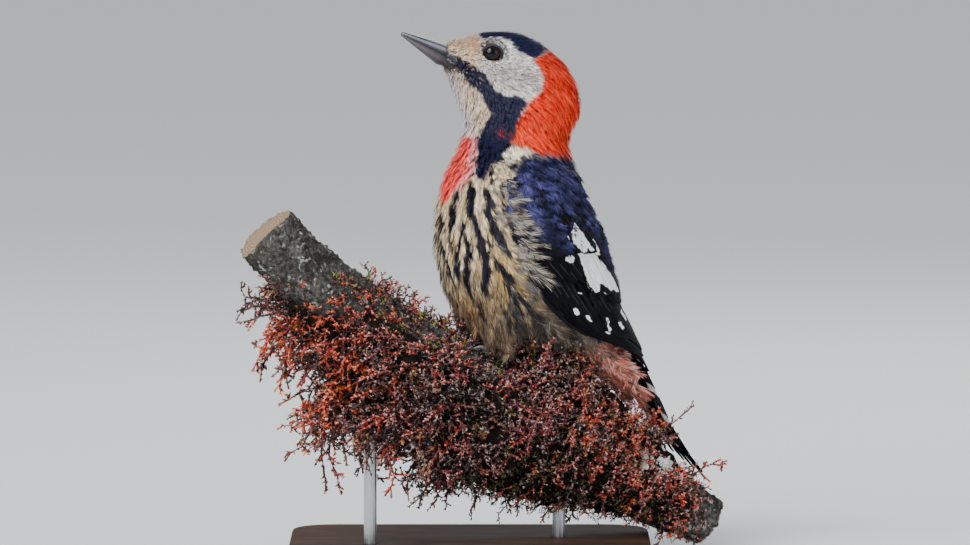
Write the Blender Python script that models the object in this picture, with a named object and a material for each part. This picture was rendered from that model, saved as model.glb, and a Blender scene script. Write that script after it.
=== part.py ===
"""A crimson-naped woodpecker on a mossy perch: a still, life-size model on a display stand.

Units are metres, +Z is up, and the origin is the centre of the stand base's underside.
The bird is laid out in its own upright frame: forward, side (its left) and up, in millimetres.
Its trunk is turned a little towards -Y and its head a little less, so the neck twists.
"""

from math import cos, degrees, pi, radians, sin, sqrt, tan

import bmesh
import bpy
from mathutils import Matrix, Vector

MM = 0.001
GAP = 0.35  # clear space between neighbouring pieces

# Body: how the bird stands over the base
NECK_AXIS_X = 15.5  # the upright line that the whole bird is turned about
TRUNK_YAW = 22.0
HEAD_YAW = 6.0
RING_POINTS = 20
RING_STEP = 0.5  # of the distance between two stations

# Each station is one ring of the body: the breast-side point and the back-side point as
# (forward, up), then half the width, how much wider the ring is low down, and its yaw.
STATIONS = (
    ("bill base", (24.6, 154.4), (22.1, 161.2), 4.2, 0.00, HEAD_YAW),
    ("lores", (22.4, 150.4), (18.1, 162.3), 6.4, 0.04, HEAD_YAW),
    ("brow", (20.6, 145.7), (13.1, 164.1), 8.7, 0.06, HEAD_YAW),
    ("eye", (19.3, 142.0), (7.2, 164.6), 10.0, 0.08, HEAD_YAW),
    ("cheek", (18.1, 138.9), (0.3, 164.1), 11.2, 0.10, HEAD_YAW),
    ("crown", (17.0, 136.1), (-6.5, 160.9), 12.0, 0.10, 7.0),
    ("nape top", (17.2, 133.6), (-11.9, 156.8), 12.4, 0.08, 8.0),
    ("nape", (18.2, 131.5), (-15.7, 151.5), 12.7, 0.04, 10.0),
    ("nape ruff", (19.2, 129.6), (-18.2, 145.0), 13.2, 0.00, 12.0),
    ("neck", (20.2, 127.5), (-18.0, 137.9), 13.8, 0.00, 15.0),
    ("collar", (21.8, 124.4), (-14.3, 130.7), 15.6, 0.00, 18.0),
    ("shoulder", (23.6, 120.4), (-15.0, 124.5), 18.8, 0.00, 21.0),
    ("breast", (25.7, 113.6), (-18.7, 117.0), 21.8, 0.00, TRUNK_YAW),
    ("ribs", (26.8, 105.5), (-22.0, 109.0), 23.4, 0.00, TRUNK_YAW),
    ("low breast", (26.8, 96.8), (-25.0, 100.3), 24.0, 0.00, TRUNK_YAW),
    ("flank", (25.4, 88.5), (-27.1, 91.7), 23.6, 0.00, TRUNK_YAW),
    ("belly", (22.5, 81.3), (-28.9, 84.2), 22.2, 0.00, TRUNK_YAW),
    ("loin", (18.7, 74.5), (-30.4, 78.0), 19.6, 0.00, TRUNK_YAW),
    ("hip", (8.2, 68.9), (-31.6, 71.8), 16.2, 0.00, TRUNK_YAW),
    ("vent", (-10.4, 65.7), (-32.6, 66.5), 12.4, 0.00, TRUNK_YAW),
    ("tail coverts", (-25.7, 58.3), (-35.3, 59.5), 8.4, 0.00, TRUNK_YAW),
    ("coverts tip", (-36.6, 49.3), (-38.6, 50.2), 3.0, 0.00, TRUNK_YAW),
)

# Thin cuts that part the body, as heights above the floor
THROAT_CUT = 136.0
SHOULDER_CUT = 125.5
VENT_CUT = 65.2

# Eyeball: its centre in the bird's frame, and its radius
EYE_FORWARD, EYE_UP, EYE_SIDE, EYE_RADIUS = 9.0, 158.6, 6.3, 3.3

# Bill: the mouth line runs from the gape to the tip
BILL_GAPE = (24.4, 157.3)
BILL_TIP = (36.9, 163.8)
UPPER_DEPTH, LOWER_DEPTH = 3.6, 2.5
BILL_HALF_WIDTH, BILL_TIP_HALF_WIDTH = 3.1, 0.75
BILL_RINGS = 7

# Folded wing: how far round the body it reaches, in degrees from the mid-line of the breast
WING_START, WING_SPLIT, WING_END = 11.3, 14.2, 20.3
WING_STATIONS = (11.3, 12.5, 14.2, 16.0, 18.0, 19.3, 20.3)
WING_LEADING = (66.0, 66.0, 72.0, 78.0, 96.0, 120.0, 150.0)
WING_INNER = (138.0, 145.0, 158.0, 170.0, 176.0, 176.0, 174.0)
WING_LIFT = (0.4, 0.4, 0.5, 1.0, 2.0, 3.4, 4.8)
WING_THICKNESS = 2.0

# Tail: the mid-line as (forward, up) from under the wing tips to the point
TAIL_LINE = ((-36.8, 63.4), (-40.4, 54.0), (-46.4, 41.2), (-53.6, 31.4), (-60.4, 24.4))
TAIL_THICKNESS = 0.9
TAIL_LAYER = 1.3

# Legs
THIGH_CENTRE = (9.0, 8.8, 76.5)
THIGH_RADII = (9.6, 7.2, 11.0)
ANKLE = (8.2, 8.2, 70.5)
SHANK_RADIUS = 1.3
FOOT_AROUND = 30.0  # degrees down either side of the perch
FOOT_ALONG = 0.60
BALL_LIFT = 2.1  # the ball of the foot above the bark
TOE_RADIUS, TOE_TIP_RADIUS = 1.05, 0.75
# Each toe: its heading from uphill, in degrees away from the other foot, and its length
TOES = (("inner", -16.0, 8.5), ("middle", 12.0, 11.5), ("outer", 152.0, 10.5), ("hind", 196.0, 6.0))
CLAW_LENGTH = 4.2

# Perch: a cut length of branch, as (x, z, radius), turned away from -Y at its low end
PERCH_LINE = (
    (-63.0, 104.0, 10.6),
    (-49.0, 89.6, 10.4),
    (-22.0, 70.6, 10.2),
    (8.0, 52.8, 10.0),
    (41.0, 31.8, 9.4),
    (75.0, 9.8, 8.0),
)
FEET_POINT = 3  # the feet stand at this point of the perch line
PERCH_YAW = 20.0
PERCH_SHIFT_Y = -2.9
PERCH_SIDES = 16
PERCH_RINGS = 17
MOSS_HALF_OPENING = 80.0  # degrees left bare on each side of the top
MOSS_PLACES = (0.19, 0.30, 0.40, 0.50, 0.60, 0.70, 0.80, 0.90, 0.94)
MOSS_DEPTHS = (1.5, 8.0, 18.0, 26.0, 27.0, 20.0, 9.0, 2.0, 1.0)

# Stand
BASE_LENGTH, BASE_WIDTH, BASE_HEIGHT = 112.0, 88.0, 7.0
BASE_CORNER, BASE_EDGE = 14.0, 1.2
ROD_RADIUS, ROD_SINK = 2.0, 4.0
ROD_PLACES = (("stand_rod_upper", 0.34), ("stand_rod_lower", 0.72))


# ---------------------------------------------------------------- materials and objects


def material(name, colour, roughness, metallic=0.0):
    made = bpy.data.materials.new(name)
    made.use_nodes = True
    shader = made.node_tree.nodes["Principled BSDF"]
    shader.inputs["Base Color"].default_value = (*colour, 1.0)
    shader.inputs["Roughness"].default_value = roughness
    shader.inputs["Metallic"].default_value = metallic
    return made


def clear_scene():
    for obj in list(bpy.data.objects):
        bpy.data.objects.remove(obj)


def add_object(name, bm, surface, sharp_angle=40.0):
    """A mesh object from bm, shaded smooth except at edges sharper than sharp_angle."""
    mesh = bpy.data.meshes.new(name)
    bmesh.ops.recalc_face_normals(bm, faces=bm.faces)
    bm.to_mesh(mesh)
    bm.free()
    mesh.shade_smooth()
    mesh.set_sharp_from_angle(angle=radians(sharp_angle))
    mesh.materials.append(surface)
    obj = bpy.data.objects.new(name, mesh)
    bpy.context.scene.collection.objects.link(obj)
    return obj


def as_helper(obj):
    """Marks a cutter or a guide, which isn't part of the model."""
    obj.hide_render = True
    obj.display_type = "WIRE"
    return obj


def boolean(obj, other, operation):
    modifier = obj.modifiers.new(operation.title(), "BOOLEAN")
    modifier.operation = operation
    modifier.solver = "EXACT"
    modifier.object = other


def baked(obj):
    """The object's mesh with its modifiers applied."""
    graph = bpy.context.evaluated_depsgraph_get()
    mesh = bpy.data.meshes.new_from_object(obj.evaluated_get(graph))
    obj.modifiers.clear()
    obj.data = mesh
    return obj


# ---------------------------------------------------------------- curves


def smooth_value(values, place):
    """Reads a list of numbers or vectors at a fractional place, on a Catmull-Rom curve."""
    last = len(values) - 1
    place = min(max(place, 0.0), float(last))
    index = min(int(place), last - 1)
    t = place - index
    before, start = values[max(index - 1, 0)], values[index]
    end, after = values[index + 1], values[min(index + 2, last)]
    return (
        start * 2
        + (end - before) * t
        + (before * 2 - start * 5 + end * 4 - after) * t**2
        + (start * 3 - before - end * 3 + after) * t**3
    ) / 2


def value_at(places, values, place):
    """Straight-line reading of values that are set at the given places."""
    if place <= places[0]:
        return values[0]
    for index in range(1, len(places)):
        if place <= places[index]:
            share = (place - places[index - 1]) / (places[index] - places[index - 1])
            return values[index - 1] + share * (values[index] - values[index - 1])
    return values[-1]


def steps(start, end, count):
    return [start + (end - start) * index / count for index in range(count + 1)]


# ---------------------------------------------------------------- the bird's frame


def bird_point(forward, side, up, yaw=TRUNK_YAW):
    """A point of the bird, in millimetres, as a point of the model, in metres."""
    turn = radians(yaw)
    return Vector((
        NECK_AXIS_X - forward * cos(turn) + side * sin(turn),
        -forward * sin(turn) - side * cos(turn),
        up,
    )) * MM


BREAST_LINE = [Vector(row[1]) for row in STATIONS]
BACK_LINE = [Vector(row[2]) for row in STATIONS]
HALF_WIDTHS = [row[3] for row in STATIONS]
LOW_WIDTHS = [row[4] for row in STATIONS]
YAWS = [row[5] for row in STATIONS]


def body_point(place, around, lift=0.0):
    """The body's surface at a station place and an angle in degrees: 0 breast, 90 left, 180 back."""
    breast, back = smooth_value(BREAST_LINE, place), smooth_value(BACK_LINE, place)
    half_width = smooth_value(HALF_WIDTHS, place)
    low = smooth_value(LOW_WIDTHS, place)
    centre, reach = (breast + back) / 2, (breast - back) / 2
    depth = reach.length
    angle = radians(around)
    width = half_width * (1 + low * cos(angle))
    outward_in = cos(angle) * width
    outward_side = sin(angle) * depth
    scale = lift / sqrt(outward_in**2 + outward_side**2)
    flat = centre + reach * cos(angle) + reach.normalized() * outward_in * scale
    side = width * sin(angle) + outward_side * scale
    return bird_point(flat.x, side, flat.y, smooth_value(YAWS, place))


# ---------------------------------------------------------------- mesh builders


def tube(rings):
    """A closed tube through rings of points, bridged from one ring to the next."""
    bm = bmesh.new()
    loops = []
    for ring in rings:
        verts = [bm.verts.new(point) for point in ring]
        loops.append([bm.edges.new((verts[i - 1], verts[i])) for i in range(len(verts))])
    for first, second in zip(loops, loops[1:]):
        bmesh.ops.bridge_loops(bm, edges=first + second)
    for loop in (loops[0], loops[-1]):
        bmesh.ops.contextual_create(bm, geom=loop)
    return bm


def plate(surface, across, along, thickness, flip):
    """A curved plate: a flat grid laid on surface(p, q), both 0 to 1, then given its thickness."""
    bm = bmesh.new()
    bmesh.ops.create_grid(bm, x_segments=across, y_segments=along, size=0.5)
    for vert in bm.verts:
        vert.co = surface(vert.co.x + 0.5, vert.co.y + 0.5)
    if flip:
        bmesh.ops.reverse_faces(bm, faces=bm.faces)
    bm.normal_update()
    bmesh.ops.solidify(bm, geom=bm.faces, thickness=thickness * MM)
    return bm


def ellipsoid(centre, radii, grow=0.0):
    """An egg shape in the bird's frame, with its long axis upright."""
    bm = bmesh.new()
    bmesh.ops.create_uvsphere(bm, u_segments=12, v_segments=9, radius=1.0)
    for vert in bm.verts:
        x, y, z = vert.co
        taper = 1 - 0.22 * max(-z, 0.0) ** 2
        vert.co = bird_point(
            centre[0] + (radii[0] + grow) * x * taper,
            centre[1] + (radii[1] + grow) * y * taper,
            centre[2] + (radii[2] + grow) * z,
        )
    return bm


# ---------------------------------------------------------------- body


def body_rings():
    last = len(STATIONS) - 1
    for place in steps(0, last, round(last / RING_STEP)):
        yield [body_point(place, 360 * k / RING_POINTS) for k in range(RING_POINTS)]


def body_piece(name, whole, bottom, top, surface):
    """The slice of the whole body between two heights, with half a gap left at each cut."""
    bm = whole.copy()
    for height, rise in ((bottom, 1), (top, -1)):
        if height is None:
            continue
        level = Vector((0.0, 0.0, height + rise * GAP / 2)) * MM
        keep = Vector((0.0, 0.0, rise))
        geom = bm.verts[:] + bm.edges[:] + bm.faces[:]
        cut = bmesh.ops.bisect_plane(
            bm, geom=geom, plane_co=level, plane_no=keep, clear_inner=True, dist=1e-7
        )
        edges = [item for item in cut["geom_cut"] if isinstance(item, bmesh.types.BMEdge)]
        bmesh.ops.contextual_create(bm, geom=edges)
    return add_object(name, bm, surface)


def build_body(surface):
    whole = tube(body_rings())
    head = body_piece("head", whole, THROAT_CUT, None, surface)
    body_piece("neck", whole, SHOULDER_CUT, THROAT_CUT, surface)
    trunk = body_piece("trunk", whole, VENT_CUT, SHOULDER_CUT, surface)
    body_piece("undertail", whole, None, VENT_CUT, surface)
    whole.free()
    return head, trunk


def eyeball(grow=0.0, side=1):
    bm = bmesh.new()
    bmesh.ops.create_uvsphere(bm, u_segments=14, v_segments=10, radius=(EYE_RADIUS + grow) * MM)
    turn = Matrix.Rotation(pi / 2, 4, "X")
    place = Matrix.Translation(bird_point(EYE_FORWARD, side * EYE_SIDE, EYE_UP, HEAD_YAW))
    bmesh.ops.transform(bm, matrix=place @ turn, verts=bm.verts)
    return bm


def build_eyes(head, surface):
    for letter, side in (("L", 1), ("R", -1)):
        add_object(f"eye_{letter}", eyeball(side=side), surface)
        socket = as_helper(add_object(f"socket_{letter}", eyeball(GAP, side), surface))
        boolean(head, socket, "DIFFERENCE")


def bill_half(name, depth, rise, surface):
    """One mandible: rings from the gape to the tip, flat on the mouth line. rise is +1 or -1."""
    gape, tip = Vector(BILL_GAPE), Vector(BILL_TIP)
    along = (tip - gape).normalized()
    outward = Vector((-along.y, along.x)) * rise
    rings = []
    for share in steps(0, 1, BILL_RINGS):
        taper = 1 - share
        half_width = BILL_TIP_HALF_WIDTH + (BILL_HALF_WIDTH - BILL_TIP_HALF_WIDTH) * taper**0.9
        height = 0.35 + (depth - 0.35) * taper**0.88
        middle = gape + (tip - gape) * share + outward * GAP / 2
        arch = [radians(angle) for angle in range(0, 181, 20)]
        ring = []
        for angle in arch:
            point = middle + outward * height * sin(angle) ** 0.85
            ring.append(bird_point(point.x, half_width * cos(angle), point.y, HEAD_YAW))
        rings.append(ring)
    add_object(name, tube(rings), surface, 50.0)


# ---------------------------------------------------------------- wings and tail


def wing_surface(side, start, end, low, high):
    """The folded wing's inner face between two station places, over a share of its width."""

    def surface(p, q):
        place = start + (end - start) * q
        lead = value_at(WING_STATIONS, WING_LEADING, place)
        inner = value_at(WING_STATIONS, WING_INNER, place)
        around = lead + (inner - lead) * (low + (high - low) * p)
        lift = value_at(WING_STATIONS, WING_LIFT, place)
        return body_point(place, side * around, lift)

    return surface


def build_wings(surface):
    feather_groups = (
        ("shoulder", WING_START, WING_SPLIT - 0.04, 0.0, 1.0, 9, 5),
        ("primaries", WING_SPLIT + 0.04, WING_END, 0.0, 0.47, 5, 10),
        ("secondaries", WING_SPLIT + 0.04, WING_END - 0.9, 0.51, 1.0, 5, 8),
    )
    for letter, side in (("L", 1), ("R", -1)):
        for group, start, end, low, high, across, along in feather_groups:
            face = wing_surface(side, start, end, low, high)
            bm = plate(face, across, along, WING_THICKNESS, flip=side < 0)
            add_object(f"wing_{letter}_{group}", bm, surface)


def tail_surface(side, half_widths, inner, end, layer):
    """A fan of tail feathers: from the mid-line or its own inner edge out to half_widths."""
    line = [Vector(point) for point in TAIL_LINE]

    def surface(p, q):
        place = q * end * (len(line) - 1)
        middle = smooth_value(line, place)
        ahead = smooth_value(line, place + 0.05) - smooth_value(line, place - 0.05)
        ventral = Vector((-ahead.y, ahead.x)).normalized()
        width = value_at(steps(0, 1, len(half_widths) - 1), half_widths, q)
        across = inner + (width - inner) * p
        roof = 0.035 * across**2
        point = middle + ventral * (layer + roof)
        return bird_point(point.x, side * across, point.y)

    return surface


def build_tail(surface):
    left_half = tail_surface(1, (2.2, 3.4, 4.6, 3.8, 0.8), 0.0, 1.0, 0.0)

    def both_halves(p, q):
        point = left_half(abs(2 * p - 1), q)
        return point if p >= 0.5 else mirrored(point)

    add_object("tail_middle", plate(both_halves, 6, 8, TAIL_THICKNESS, flip=False), surface)
    for name, side in (("tail_left", 1), ("tail_right", -1)):
        fan = tail_surface(side, (3.6, 6.0, 7.8, 8.0, 5.4), 0.6, 0.84, TAIL_LAYER)
        add_object(name, plate(fan, 4, 7, TAIL_THICKNESS, flip=side < 0), surface)


def mirrored(point):
    """A point of the trunk or tail on the bird's other side."""
    turn = radians(TRUNK_YAW)
    side_axis = Vector((sin(turn), -cos(turn), 0.0))
    from_axis = point - Vector((NECK_AXIS_X * MM, 0.0, 0.0))
    return point - side_axis * 2 * from_axis.dot(side_axis)


# ---------------------------------------------------------------- perch


PERCH_POINTS = [
    Vector((x, (x - PERCH_LINE[FEET_POINT][0]) * tan(radians(PERCH_YAW)) + PERCH_SHIFT_Y, z))
    for x, z, _ in PERCH_LINE
]
PERCH_RADII = [row[2] for row in PERCH_LINE]


def perch_frame(share):
    """Centre, direction downhill, side towards -Y and upward normal of the branch, at 0 to 1."""
    place = share * (len(PERCH_POINTS) - 1)
    centre = smooth_value(PERCH_POINTS, place)
    ahead = smooth_value(PERCH_POINTS, place + 0.05) - smooth_value(PERCH_POINTS, place - 0.05)
    ahead.normalize()
    near = ahead.cross(Vector((0, 0, 1))).normalized()
    return centre, ahead, near, near.cross(ahead).normalized()


def perch_radius(share, angle):
    """The bark's radius, with low knots and flutes. The angle is in radians from the top."""
    base = smooth_value(PERCH_RADII, share * (len(PERCH_RADII) - 1))
    return base * (1 + 0.035 * sin(3 * angle + 9 * share) + 0.03 * sin(2 * angle - 23 * share))


def perch_point(share, around, lift=0.0):
    """A point over the bark, around in degrees from the top, positive towards -Y."""
    centre, _, near, upward = perch_frame(share)
    angle = radians(around)
    out = near * sin(angle) + upward * cos(angle)
    return (centre + out * (perch_radius(share, angle) + lift)) * MM


def build_perch(bark, moss):
    rings = [
        [perch_point(share, 360 * k / PERCH_SIDES) for k in range(PERCH_SIDES)]
        for share in steps(0, 1, PERCH_RINGS)
    ]
    branch = add_object("perch_branch", tube(rings), bark, 60.0)
    mat = add_object("perch_moss", tube(moss_rings()), moss, 60.0)
    return branch, mat


def moss_depth(share, around):
    """How far the moss stands out from the bark: a thick beard below, thin at the sides."""
    under = (1 - cos(radians(around))) / 2
    lumps = 1 + 0.07 * sin(31 * share + radians(around)) + 0.05 * sin(4 * radians(around))
    return 1.2 + value_at(MOSS_PLACES, MOSS_DEPTHS, share) * under**2.6 * lumps


def moss_rings():
    """Rings of the mat: over its outer face, then back along the bark."""
    angles = steps(MOSS_HALF_OPENING, 360 - MOSS_HALF_OPENING, 12)
    for share in steps(MOSS_PLACES[0], MOSS_PLACES[-1], 13):
        outer = [perch_point(share, angle, moss_depth(share, angle) + GAP) for angle in angles]
        inner = [perch_point(share, angle, GAP) for angle in reversed(angles)]
        yield outer + inner


def cylinder(radius, bottom, top, x, y, segments=16):
    bm = bmesh.new()
    middle = Matrix.Translation(Vector((x, y, (bottom + top) / 2)) * MM)
    bmesh.ops.create_cone(
        bm, cap_ends=True, segments=segments, radius1=radius * MM, radius2=radius * MM,
        depth=(top - bottom) * MM, matrix=middle,
    )
    return bm


def base_plate():
    """The stand's base: a block with rounded corners and a softened top edge."""
    bm = bmesh.new()
    size = Matrix.Diagonal((BASE_LENGTH * MM, BASE_WIDTH * MM, BASE_HEIGHT * MM, 1.0))
    lift = Matrix.Translation((0.0, 0.0, BASE_HEIGHT * MM / 2))
    bmesh.ops.create_cube(bm, size=1.0, matrix=lift @ size)
    upright = [e for e in bm.edges if abs(e.verts[0].co.z - e.verts[1].co.z) > MM]
    round_edges(bm, upright, BASE_CORNER, 7)
    rim = [e for e in bm.edges if min(v.co.z for v in e.verts) > (BASE_HEIGHT - 0.1) * MM]
    round_edges(bm, rim, BASE_EDGE, 2)
    return bm


def round_edges(bm, edges, radius, segments):
    bmesh.ops.bevel(
        bm, geom=edges, offset=radius * MM, segments=segments, affect="EDGES", profile=0.5
    )


def build_stand(branch, mat, wood, steel):
    """The base and its rods, which sit in drilled holes with a little room round them."""
    base = add_object("stand_base", base_plate(), wood)
    for name, share in ROD_PLACES:
        centre = perch_frame(share)[0]
        bottom, top = BASE_HEIGHT - ROD_SINK, centre.z - 2.0
        add_object(name, cylinder(ROD_RADIUS, bottom, top, centre.x, centre.y), steel)
        room = cylinder(ROD_RADIUS + GAP, bottom - GAP, top + GAP, centre.x, centre.y)
        drill = as_helper(add_object(f"drill_{name}", room, steel))
        for drilled in (base, branch, mat):
            boolean(drilled, drill, "DIFFERENCE")


# ---------------------------------------------------------------- legs and feet


def tapered_tube(path, radii, sides=6):
    """A round tube along a path of points in metres."""
    rings = []
    for index, point in enumerate(path):
        ahead = path[min(index + 1, len(path) - 1)] - path[max(index - 1, 0)]
        turn = ahead.to_track_quat("Z", "Y")
        radius = radii[index] * MM
        ring = []
        for k in range(sides):
            angle = 2 * pi * k / sides
            ring.append(point + turn @ Vector((radius * cos(angle), radius * sin(angle), 0.0)))
        rings.append(ring)
    return tube(rings)


def on_perch(side, heading, distance, lift):
    """A point near the bark, reached from the foot by a heading and a distance in millimetres."""
    length = sum((b - a).length for a, b in zip(PERCH_POINTS, PERCH_POINTS[1:]))
    radius = PERCH_RADII[FEET_POINT]
    uphill, outward = distance * cos(radians(heading)), distance * sin(radians(heading))
    share = FOOT_ALONG - uphill / length
    around = side * (FOOT_AROUND + degrees(outward / radius))
    return perch_point(share, around, lift)


def foot_parts(side):
    """The toes and the shank of one foot, as meshes that overlap at the ball of the foot."""
    ball = on_perch(side, 0.0, 0.0, BALL_LIFT)
    for _, heading, length in TOES:
        path, radii = [ball], [TOE_RADIUS * 1.25]
        for share in steps(0.25, 1.0, 5):
            knuckle = 0.35 * abs(sin(3 * pi * share))
            lift = GAP + TOE_RADIUS + 0.9 * (1 - share) ** 2 + knuckle * 0.6
            path.append(on_perch(side, heading, share * length, lift))
            radii.append(TOE_RADIUS + (TOE_TIP_RADIUS - TOE_RADIUS) * share + knuckle * 0.25)
        yield tapered_tube(path, radii)
    ankle = bird_point(ANKLE[0], side * ANKLE[1], ANKLE[2])
    shank = [SHANK_RADIUS * 1.2, SHANK_RADIUS, SHANK_RADIUS]
    yield tapered_tube([ball, (ball + ankle) / 2, ankle], shank)


def claw(side, heading, length):
    """A claw that starts just past its toe, arches and comes down to the bark."""
    path, radii = [], []
    for share in steps(0.0, 1.0, 4):
        lift = GAP + TOE_TIP_RADIUS + 1.0 * sin(pi * min(share * 1.25, 1.0)) - 0.35 * share
        path.append(on_perch(side, heading, length + 2 * GAP + CLAW_LENGTH * share, lift))
        radii.append(TOE_TIP_RADIUS * (1 - 0.72 * share))
    return tapered_tube(path, radii, sides=6)


def build_thigh(letter, side, trunk, feathered):
    """The feathered thigh, in a pocket of the trunk and drilled for the shank."""
    centre = (THIGH_CENTRE[0], side * THIGH_CENTRE[1], THIGH_CENTRE[2])
    thigh = add_object(f"thigh_{letter}", ellipsoid(centre, THIGH_RADII), feathered)
    pocket = ellipsoid(centre, THIGH_RADII, GAP)
    boolean(trunk, as_helper(add_object(f"thigh_pocket_{letter}", pocket, feathered)), "DIFFERENCE")
    ankle = bird_point(ANKLE[0], side * ANKLE[1], ANKLE[2] + 2 * GAP)
    room = tapered_tube([on_perch(side, 0, 0, BALL_LIFT), ankle], [SHANK_RADIUS * 1.2 + GAP] * 2)
    boolean(thigh, as_helper(add_object(f"shank_room_{letter}", room, feathered)), "DIFFERENCE")


def build_foot(letter, side, scaly):
    """The shank and toes of one foot, joined into one solid."""
    pieces = [
        add_object(f"foot_part_{letter}_{index}", bm, scaly)
        for index, bm in enumerate(foot_parts(side))
    ]
    foot = pieces[0]
    for piece in pieces[1:]:
        boolean(foot, as_helper(piece), "UNION")
    baked(foot).name = f"foot_{letter}"


def build_legs(trunk, feathered, scaly, horn):
    for letter, side in (("L", 1), ("R", -1)):
        build_thigh(letter, side, trunk, feathered)
        build_foot(letter, side, scaly)
        for toe, heading, length in TOES:
            add_object(f"claw_{letter}_{toe}", claw(side, heading, length), horn)


# ---------------------------------------------------------------- the whole model


def main():
    clear_scene()
    plumage = material("plumage", (0.55, 0.45, 0.32), 0.85)
    flight = material("flight_feathers", (0.02, 0.02, 0.035), 0.45)
    horn = material("horn", (0.16, 0.16, 0.18), 0.35)
    eye = material("eye", (0.05, 0.015, 0.012), 0.08)
    scaly = material("scaly_skin", (0.22, 0.21, 0.2), 0.6)
    bark = material("bark", (0.19, 0.16, 0.14), 0.9)
    moss = material("moss", (0.22, 0.06, 0.03), 0.95)
    wood = material("stained_wood", (0.09, 0.045, 0.025), 0.4)
    steel = material("brushed_steel", (0.6, 0.6, 0.62), 0.3, 1.0)

    head, trunk = build_body(plumage)
    build_eyes(head, eye)
    bill_half("bill_upper", UPPER_DEPTH, 1, horn)
    bill_half("bill_lower", LOWER_DEPTH, -1, horn)
    build_wings(flight)
    build_tail(flight)
    branch, mat = build_perch(bark, moss)
    build_stand(branch, mat, wood, steel)
    build_legs(trunk, plumage, scaly, horn)


main()
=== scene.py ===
"""Looks of a crimson-naped woodpecker on its mossy perch and stand.

Lengths are named in millimetres and turned to metres by MM. The bird has its own upright
frame: forward, side (its left) and up. Its trunk is turned more than its head.
"""

from math import cos, pi, radians, sin, sqrt, tan

import bmesh
import bpy
import numpy as np
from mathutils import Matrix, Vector
from mathutils.bvhtree import BVHTree


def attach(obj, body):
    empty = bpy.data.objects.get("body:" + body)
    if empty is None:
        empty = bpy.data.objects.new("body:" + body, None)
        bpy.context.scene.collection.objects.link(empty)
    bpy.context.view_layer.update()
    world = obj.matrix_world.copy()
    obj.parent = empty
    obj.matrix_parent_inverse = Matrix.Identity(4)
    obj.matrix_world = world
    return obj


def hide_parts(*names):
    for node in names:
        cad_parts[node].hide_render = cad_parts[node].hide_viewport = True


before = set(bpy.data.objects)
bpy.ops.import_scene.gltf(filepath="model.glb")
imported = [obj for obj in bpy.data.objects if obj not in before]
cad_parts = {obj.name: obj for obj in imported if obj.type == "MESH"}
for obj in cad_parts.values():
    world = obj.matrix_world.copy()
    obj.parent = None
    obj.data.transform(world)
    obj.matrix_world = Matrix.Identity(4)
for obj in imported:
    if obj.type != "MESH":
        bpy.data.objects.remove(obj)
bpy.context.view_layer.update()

MM = 0.001
SEED = 7

# The bird's frame: the upright line that it turns about, and its turn and middle by height
NECK_AXIS_X = 15.5
YAW_HEIGHTS = (118, 124, 130, 136, 142, 150)
YAWS = (22, 21, 18, 13, 9, 6)
AXIS_HEIGHTS = (50, 58, 66, 72, 78, 84, 92, 100, 117, 124, 131, 138)
AXIS_FORWARD = (-38, -30, -21, -12, -6, -3.2, -0.8, 0.9, 3.5, 4, 3.5, 3)


def srgb(red, green, blue_sheen):
    """A linear colour from 0 to 255 screen values."""
    share = np.array((red, green, blue_sheen)) / 255
    return np.where(share <= 0.04045, share / 12.92, ((share + 0.055) / 1.055) ** 2.4)


# ---------------------------------------------------------------- the bird's frame


def to_bird(points):
    """Forward, side and up in millimetres, and degrees round the body from the breast."""
    points = np.asarray(points) / MM
    up = points[:, 2]
    yaw = np.radians(np.interp(up, YAW_HEIGHTS, YAWS))
    across, away = points[:, 0] - NECK_AXIS_X, points[:, 1]
    forward = -across * np.cos(yaw) - away * np.sin(yaw)
    side = across * np.sin(yaw) - away * np.cos(yaw)
    middle = np.interp(up, AXIS_HEIGHTS, AXIS_FORWARD)
    around = np.degrees(np.arctan2(side, forward - middle))
    return forward, side, up, around


def from_bird(forward, side, up, turn=None):
    """Points of the model, in metres, from the bird's frame or from one with a single turn."""
    yaw = np.radians(np.interp(up, YAW_HEIGHTS, YAWS) if turn is None else turn)
    x = NECK_AXIS_X - forward * np.cos(yaw) + side * np.sin(yaw)
    y = -forward * np.sin(yaw) - side * np.cos(yaw)
    return vectors(x, y, up) * MM


def middle_line(up):
    """Points on the body's middle line, at heights."""
    return from_bird(np.interp(up, AXIS_HEIGHTS, AXIS_FORWARD), 0 * up, up)


def turned(directions, up):
    """Directions of the bird's frame, as directions of the model, at the given heights."""
    yaw = np.radians(np.interp(up, YAW_HEIGHTS, YAWS))
    forward, side, rise = directions.T
    x = -forward * np.cos(yaw) + side * np.sin(yaw)
    y = -forward * np.sin(yaw) - side * np.cos(yaw)
    return vectors(x, y, rise)


# ---------------------------------------------------------------- arithmetic on arrays


def step(low, high, value):
    """A smooth step from 0 at low to 1 at high."""
    share = np.clip((value - low) / (high - low), 0, 1)
    return share * share * (3 - 2 * share)


def bump(centre, reach, value):
    """1 at centre, falling smoothly to 0 at reach away."""
    return step(reach, 0, np.abs(value - centre))


def unit(rows):
    return rows / np.maximum(np.linalg.norm(rows, axis=-1, keepdims=True), 1e-12)


def vectors(*parts):
    """Rows of three from three numbers or arrays."""
    return np.stack(np.broadcast_arrays(*parts), axis=-1)


def ripple(points, size, seed, stretch=(1, 1, 1)):
    """Smooth noise in about -1 to 1, from a few crossed waves of a size in millimetres."""
    rng = np.random.default_rng(SEED + seed)
    waves = unit(rng.normal(size=(6, 3))) * rng.uniform(0.7, 1.6, (6, 1)) * 2 * pi / size
    return np.sin(points / MM * stretch @ waves.T + rng.uniform(0, 2 * pi, 6)).mean(axis=1) * 1.6


def sways(points, *waves):
    """Small smooth sidesteps for directions, from the size and seed of each axis's ripple."""
    steps = [ripple(points, size, seed) for size, seed in waves]
    return np.stack(steps + [np.zeros(len(points))] * (3 - len(steps)), 1)


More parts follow.
